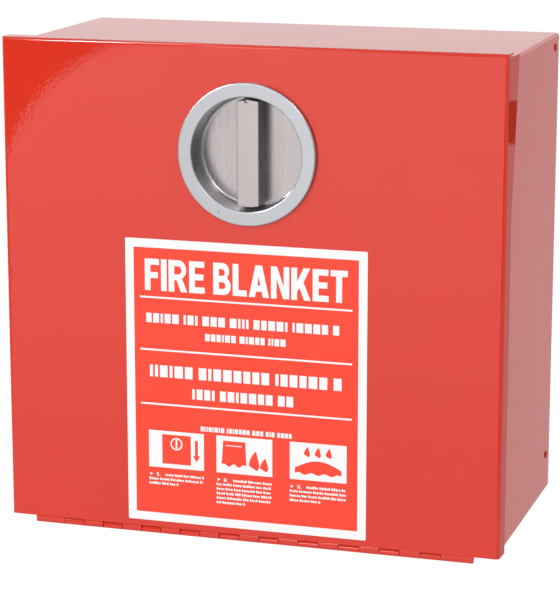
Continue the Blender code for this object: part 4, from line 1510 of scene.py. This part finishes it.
class CABINET_OT_blanket(bpy.types.Operator):
    """Folds the blanket to and fro, first across its width and then up its length"""

    bl_idname = "cabinet.make_blanket"
    bl_label = "Blanket"

    def execute(self, context):
        sizes = sizes_of("blanket_sizes")
        low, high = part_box("blanket_folded")
        layers = sizes.panels_across * sizes.panels_up
        pitch = (high.y - low.y - sizes.cloth) / layers
        band = sizes.panels_across * pitch
        across = folded_path(sizes.panels_across, sizes.cut_width / sizes.panels_across, pitch, 6, 7)
        up = folded_path(sizes.panels_up, sizes.cut_length / sizes.panels_up, band, 14, 7)
        columns = [point[0] for point in across]
        rows = [point[0] for point in up]
        cut = (columns[-1], rows[-1])
        blanket, places = cloth_grid("fire_blanket", columns, rows, cut)
        centre = (low + high) / 2
        wide = max(point[1] for point in across)
        tall = max(point[1] for point in up) + band / 2
        squeeze_x = (high.x - low.x - sizes.cloth) / 2 / wide
        squeeze_z = (high.z - low.z - sizes.cloth) / 2 / tall
        half_band = (sizes.panels_across - 1) * pitch / 2
        for vert, (column, row) in zip(blanket.data.vertices, places):
            x, depth = across[column][1:3]
            z, level, heading = up[row][1:]
            offset = depth - half_band
            y = low.y + sizes.cloth / 2 + band / 2 + level + offset * math.cos(heading)
            z = z - offset * math.sin(heading)
            # Slow waves bulge the panels and sag the folds, a fast one wrinkles the cloth
            share_x = x / wide
            share_z = z / tall
            belly = sizes.belly * math.sin(9.0 * share_x + 2.0 * share_z + 40 * level)
            sag = sizes.sag * math.sin(5.0 * share_x + 60 * y) * (1 if z > 0 else 0.15)
            slack = 1 - 0.010 * (1 + math.sin(37 * level + 3 * share_z))
            wrinkle = sizes.wrinkle * math.sin(31 * share_z + 7 * share_x + 90 * level)
            y_share = (y - low.y) / (high.y - low.y)
            hold = math.sin(math.pi * min(1.0, max(0.0, y_share)))
            vert.co = (
                centre.x + x * squeeze_x * slack,
                y + (belly + wrinkle) * hold,
                centre.z + z * squeeze_z * 0.985 + sag - 0.0008,
            )
        finish_cloth(blanket, sizes.cloth)
        finish_piece(
            blanket, "cabinet", "blanket_cloth", get_material("blanket_cloth"), "blanket_folded"
        )
        return {"FINISHED"}


def pocket_cut():
    """The flat size of one pocket: a strip that is folded at its foot, with a hem at each end."""
    low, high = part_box("grip_pocket_left")
    return (high.x - low.x, 2 * (high.z - low.z))


def stitch_line(name, points, radius):
    """A row of stitches, each from one point to the next but one, on the cloth."""
    stitches = []
    for start, end in zip(points[0::2], points[1::2]):
        reach = (Vector(end) - Vector(start)).length
        stitch = add_rod(name, start, Vector(end) - Vector(start), reach, radius, 6)
        with editing(stitch):
            bpy.ops.mesh.select_all(action="SELECT")
            bpy.ops.mesh.bevel(offset=radius * 0.45, segments=1, affect="EDGES")
        stitches.append(stitch)
    return stitches


class CABINET_OT_pockets(bpy.types.Operator):
    """Folds and sews the two silver grip pockets in front of the blanket"""

    bl_idname = "cabinet.make_pockets"
    bl_label = "Grip pockets"

    def execute(self, context):
        sizes = sizes_of("blanket_sizes")
        across, along = 28, 72
        for side_name in ("left", "right"):
            node = f"grip_pocket_{side_name}"
            name = f"silver_pocket_{side_name}"
            low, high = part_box(node)
            cut = pocket_cut()
            columns = [cut[0] * step / across for step in range(across + 1)]
            rows = [cut[1] * step / along for step in range(along + 1)]
            pocket, places = cloth_grid(name, columns, rows, cut)
            cloth = sizes.pocket_cloth
            gap = (high.y - low.y - cloth) / 2
            tall = high.z - low.z
            bend = gap * 0.5
            for vert, (column, row) in zip(pocket.data.vertices, places):
                share = column / across
                travelled = rows[row]
                down = travelled < tall
                level = tall - travelled if down else travelled - tall
                rise = min(1.0, max(0.0, level / tall))
                side = math.sin(math.pi * share)
                # The front layer bulges, and opens at its mouth
                bulge = side ** 0.8 * math.sin(math.pi * min(1.0, rise * 0.92)) ** 0.7
                mouth = side * max(0.0, rise - 0.7) / 0.3
                fold = max(0.0, 1 - level / bend) if level < bend else 0.0
                if down:
                    y = high.y - cloth / 2 - 0.0002
                    z = low.z + cloth + level
                else:
                    y = high.y - 1.7 * cloth - (gap * 1.15) * max(bulge * 0.75, mouth * 0.9)
                    z = low.z + cloth + level * 0.965
                y = y + (high.y - 1.1 * cloth - y) * fold
                crease = 0.00018 * math.sin(61 * share + 19 * rise) * side
                if not down:
                    y -= crease * (1 - fold)
                vert.co = (low.x + cloth + (cut[0] - 2 * cloth) * share, y, min(z, high.z - cloth / 2))
            finish_cloth(pocket, cloth)
            front = high.y - 2.3 * cloth - sizes.thread / 2
            stitches = []
            step = sizes.stitch * 0.75
            for side in (low.x + 4 * cloth + 0.001, high.x - 4 * cloth - 0.001):
                count = int((tall - 0.014) / step)
                points = [(side, front, low.z + 0.004 + step * number) for number in range(count)]
                stitches += stitch_line("stitch", points, sizes.thread)
            thread = join_all(name + "_stitches", stitches)
            finish_piece(pocket, "cabinet", "silver_cloth", get_material("silver_cloth"), node)
            finish_piece(thread, "cabinet", "silver_cloth", get_material("sewing_thread"))
        return {"FINISHED"}


# Studio


def studio_light(name, place, target, width, height, power):
    """A soft rectangular light that looks at a point."""
    bpy.ops.object.select_all(action="DESELECT")
    bpy.ops.object.light_add(type="AREA", location=place)
    light = bpy.context.object
    light.name = name
    light.data.shape = "RECTANGLE"
    light.data.size = width
    light.data.size_y = height
    light.data.energy = power
    light.rotation_euler = (Vector(target) - Vector(place)).to_track_quat("-Z", "Y").to_euler()
    return light


def standing_card(name, place, target, width, height):
    """A flat card that faces a point."""
    turn = (Vector(target) - Vector(place)).to_track_quat("Z", "Y").to_euler()
    bpy.ops.object.select_all(action="DESELECT")
    bpy.ops.mesh.primitive_plane_add(size=1, location=place, rotation=turn)
    card = bpy.context.object
    card.name = name
    card.scale = (width, height, 1)
    settle(card)
    return card


def gloss_card(card, shade, glow, rise=None):
    """Makes a card of the studio show only in glossy reflections.

    Its glow may rise with height: rise holds two heights and the glow at each.
    """
    made, tree, shader, coordinates = start_material(card.name)
    shader.inputs["Base Color"].default_value = (*shade, 1.0)
    shader.inputs["Roughness"].default_value = 1.0
    shader.inputs["Specular IOR Level"].default_value = 0.0
    shader.inputs["Emission Color"].default_value = (1, 1, 1, 1)
    shader.inputs["Emission Strength"].default_value = glow
    if rise:
        apart = add_node(tree, "ShaderNodeSeparateXYZ", {"Vector": coordinates.outputs["Object"]})
        tree.links.new(remap(tree, apart.outputs["Z"], *rise), shader.inputs["Emission Strength"])
    card.data.materials.append(made)
    for way in ("camera", "diffuse", "transmission", "shadow", "volume_scatter"):
        setattr(card, f"visible_{way}", False)


# What the door's upper left corner mirrors: the ring's inner edge, seen by the gloss alone
RING_CENTRE = (-0.425, -1.2, -0.176)
RING_RADIUS = 0.2024
LATCH_PLACE = (0, -0.157, 0.085)
CAMERA_FLAG_SHADE = (0.01, 0.013, 0.02)
# Two heights and the front card's glow at each
FRONT_RISE = (-0.45, 0.10, 0.95, 1.65)
# Each card's name, place, the point that it faces, width, height and glow
GLOSS_CARDS = (
    ("studio_flag_camera", (0.52, -1.42, -0.05), LATCH_PLACE, 1.1, 1.1, 0.0),
    ("studio_card_left", (-0.66, -0.81, 0.55), (-0.14, -0.157, 0.149), 0.16, 0.50, 38.0),
    ("studio_card_right", (0.65, -0.96, 0.865), LATCH_PLACE, 0.36, 0.3, 14.0),
    ("studio_card_front", (-0.42, -1.25, -0.18), (-0.42, 0, -0.18), 1.05, 0.76, 1.0),
    ("studio_card_side", (0.545, 0.60, -0.18), (0.545, 0, -0.18), 0.40, 0.56, 0.38),
    ("studio_flag_side", (0.545, 0.585, -0.003), (0.545, 0, -0.003), 0.39, 0.038, 0.03),
)


def flag_ring():
    """A dark segment of a ring, left of the lights, that only the gloss sees."""
    bpy.ops.object.select_all(action="DESELECT")
    bpy.ops.mesh.primitive_circle_add(
        vertices=96, radius=RING_RADIUS, location=RING_CENTRE, rotation=(math.pi / 2, 0, 0)
    )
    ring = bpy.context.object
    ring.name = "studio_flag_left"
    settle(ring)

    def off_segment(face):
        place = middle(face)
        return place.x > -0.36 or place.z < RING_CENTRE[2] + 0.35 * (place.x - RING_CENTRE[0])

    with editing(ring):
        bpy.ops.mesh.select_all(action="SELECT")
        bpy.ops.mesh.extrude_region_move(TRANSFORM_OT_translate={"value": (0, 0, 0)})
        bpy.ops.transform.resize(value=(5, 1, 5), center_override=RING_CENTRE)
        pick(ring, "FACE", off_segment)
        bpy.ops.mesh.delete(type="FACE")
    gloss_card(ring, (0.01, 0.01, 0.012), 0.0)


class CABINET_OT_studio(bpy.types.Operator):
    """Sets up the pale floor, the soft lights and the camera"""

    bl_idname = "cabinet.make_studio"
    bl_label = "Studio"

    def execute(self, context):
        scene = context.scene
        scene.view_settings.view_transform = "Standard"
        low, high = FRAME_BOX
        # Low enough for the door to hang open above it
        floor_level = low.z - (high.z - low.z) - 0.02
        bpy.ops.object.select_all(action="DESELECT")
        bpy.ops.mesh.primitive_plane_add(size=60, location=(0, 0, floor_level))
        floor = context.object
        floor.name = "studio_floor"
        settle(floor)
        made, tree, shader = start_material("studio_floor")[:3]
        shader.inputs["Base Color"].default_value = (*sizes_of("cabinet_finishes").floor, 1.0)
        shader.inputs["Roughness"].default_value = 0.9
        glow = add_node(tree, "ShaderNodeEmission", {"Color": (1, 1, 1, 1), "Strength": 1.05})
        seen = add_node(tree, "ShaderNodeLightPath")
        # The camera sees the floor almost white, and everything else sees its own tone
        lift = calculate(tree, "MULTIPLY", seen.outputs["Is Camera Ray"], 0.94)
        blend = add_node(tree, "ShaderNodeMixShader", {0: lift, 1: shader.outputs[0], 2: glow.outputs[0]})
        tree.links.new(blend.outputs[0], tree.nodes["Material Output"].inputs["Surface"])
        floor.data.materials.append(made)

        flag_ring()
        for name, place, target, width, height, glow in GLOSS_CARDS:
            shade = CAMERA_FLAG_SHADE if name == "studio_flag_camera" else (0, 0, 0)
            rise = FRONT_RISE if name == "studio_card_front" else None
            gloss_card(standing_card(name, place, target, width, height), shade, glow, rise)

        world = bpy.data.worlds.new("studio")
        scene.world = world
        world.use_nodes = True
        tree = world.node_tree
        tree.nodes.clear()
        direction = add_node(tree, "ShaderNodeTexCoord")
        apart = add_node(tree, "ShaderNodeSeparateXYZ", {"Vector": direction.outputs["Generated"]})
        # The surroundings darken a little behind, overhead and on the right
        around = remap(tree, apart.outputs["Y"], -0.6, 0.6, 0.96, 0.92)
        above = remap(tree, apart.outputs["Z"], 0.25, 0.9, 1.0, 0.58)
        right = remap(tree, apart.outputs["X"], 0.3, 0.9, 1.0, 0.96)
        around = calculate(tree, "MULTIPLY", around, calculate(tree, "MULTIPLY", above, right))
        lit = add_node(tree, "ShaderNodeBackground", {"Strength": around})
        plain = add_node(tree, "ShaderNodeBackground", {"Strength": 1.04, "Color": (1, 1, 1, 1)})
        lit.inputs["Color"].default_value = (1, 1, 1, 1)
        seen = add_node(tree, "ShaderNodeLightPath")
        blend = add_node(
            tree,
            "ShaderNodeMixShader",
            {0: seen.outputs["Is Camera Ray"], 1: lit.outputs[0], 2: plain.outputs[0]},
        )
        output = add_node(tree, "ShaderNodeOutputWorld")
        tree.links.new(blend.outputs[0], output.inputs["Surface"])

        target = (0, -0.08, 0)
        studio_light("key", (-1.0, -2.3, 0.9), target, 1.0, 1.0, 20.0)

        bpy.ops.object.camera_add(location=CAMERA_PLACE, rotation=CAMERA_TURN)
        camera = context.object
        camera.name = "camera"
        camera.data.lens = CAMERA_LENS
        camera.data.sensor_width = 36
        scene.camera = camera
        return {"FINISHED"}


class CABINET_PT_panel(bpy.types.Panel):
    """The cabinet's settings and its pieces, in the 3D view's sidebar"""

    bl_label = "Fire blanket cabinet"
    bl_space_type = "VIEW_3D"
    bl_region_type = "UI"
    bl_category = "Cabinet"

    def draw(self, context):
        for group in SETTINGS:
            box = self.layout.box()
            settings = getattr(context.scene, group)
            for name in settings.bl_rna.properties.keys():
                if name not in ("rna_type", "name"):
                    box.prop(settings, name)
        for maker in MAKERS:
            self.layout.operator(maker.bl_idname)


SETTINGS = {
    "cabinet_sizes": CabinetSizes,
    "latch_sizes": LatchSizes,
    "label_sizes": LabelSizes,
    "blanket_sizes": BlanketSizes,
    "cabinet_finishes": Finishes,
}
MAKERS = (
    CABINET_OT_studio,
    CABINET_OT_door,
    CABINET_OT_case,
    CABINET_OT_back,
    CABINET_OT_hinge,
    CABINET_OT_dish,
    CABINET_OT_grip_bar,
    CABINET_OT_latch_back,
    CABINET_OT_label,
    CABINET_OT_blanket,
    CABINET_OT_pockets,
)


def register():
    for group, settings in SETTINGS.items():
        bpy.utils.register_class(settings)
        setattr(bpy.types.Scene, group, bpy.props.PointerProperty(type=settings))
    for made in MAKERS + (CABINET_PT_panel,):
        bpy.utils.register_class(made)


def unregister():
    for made in reversed(MAKERS + (CABINET_PT_panel,)):
        bpy.utils.unregister_class(made)
    for group, settings in SETTINGS.items():
        delattr(bpy.types.Scene, group)
        bpy.utils.unregister_class(settings)


def main():
    """Builds every piece in order."""
    register()
    for maker in MAKERS:
        area, action = maker.bl_idname.split(".")
        getattr(getattr(bpy.ops, area), action)()


if __name__ == "__main__":
    main()
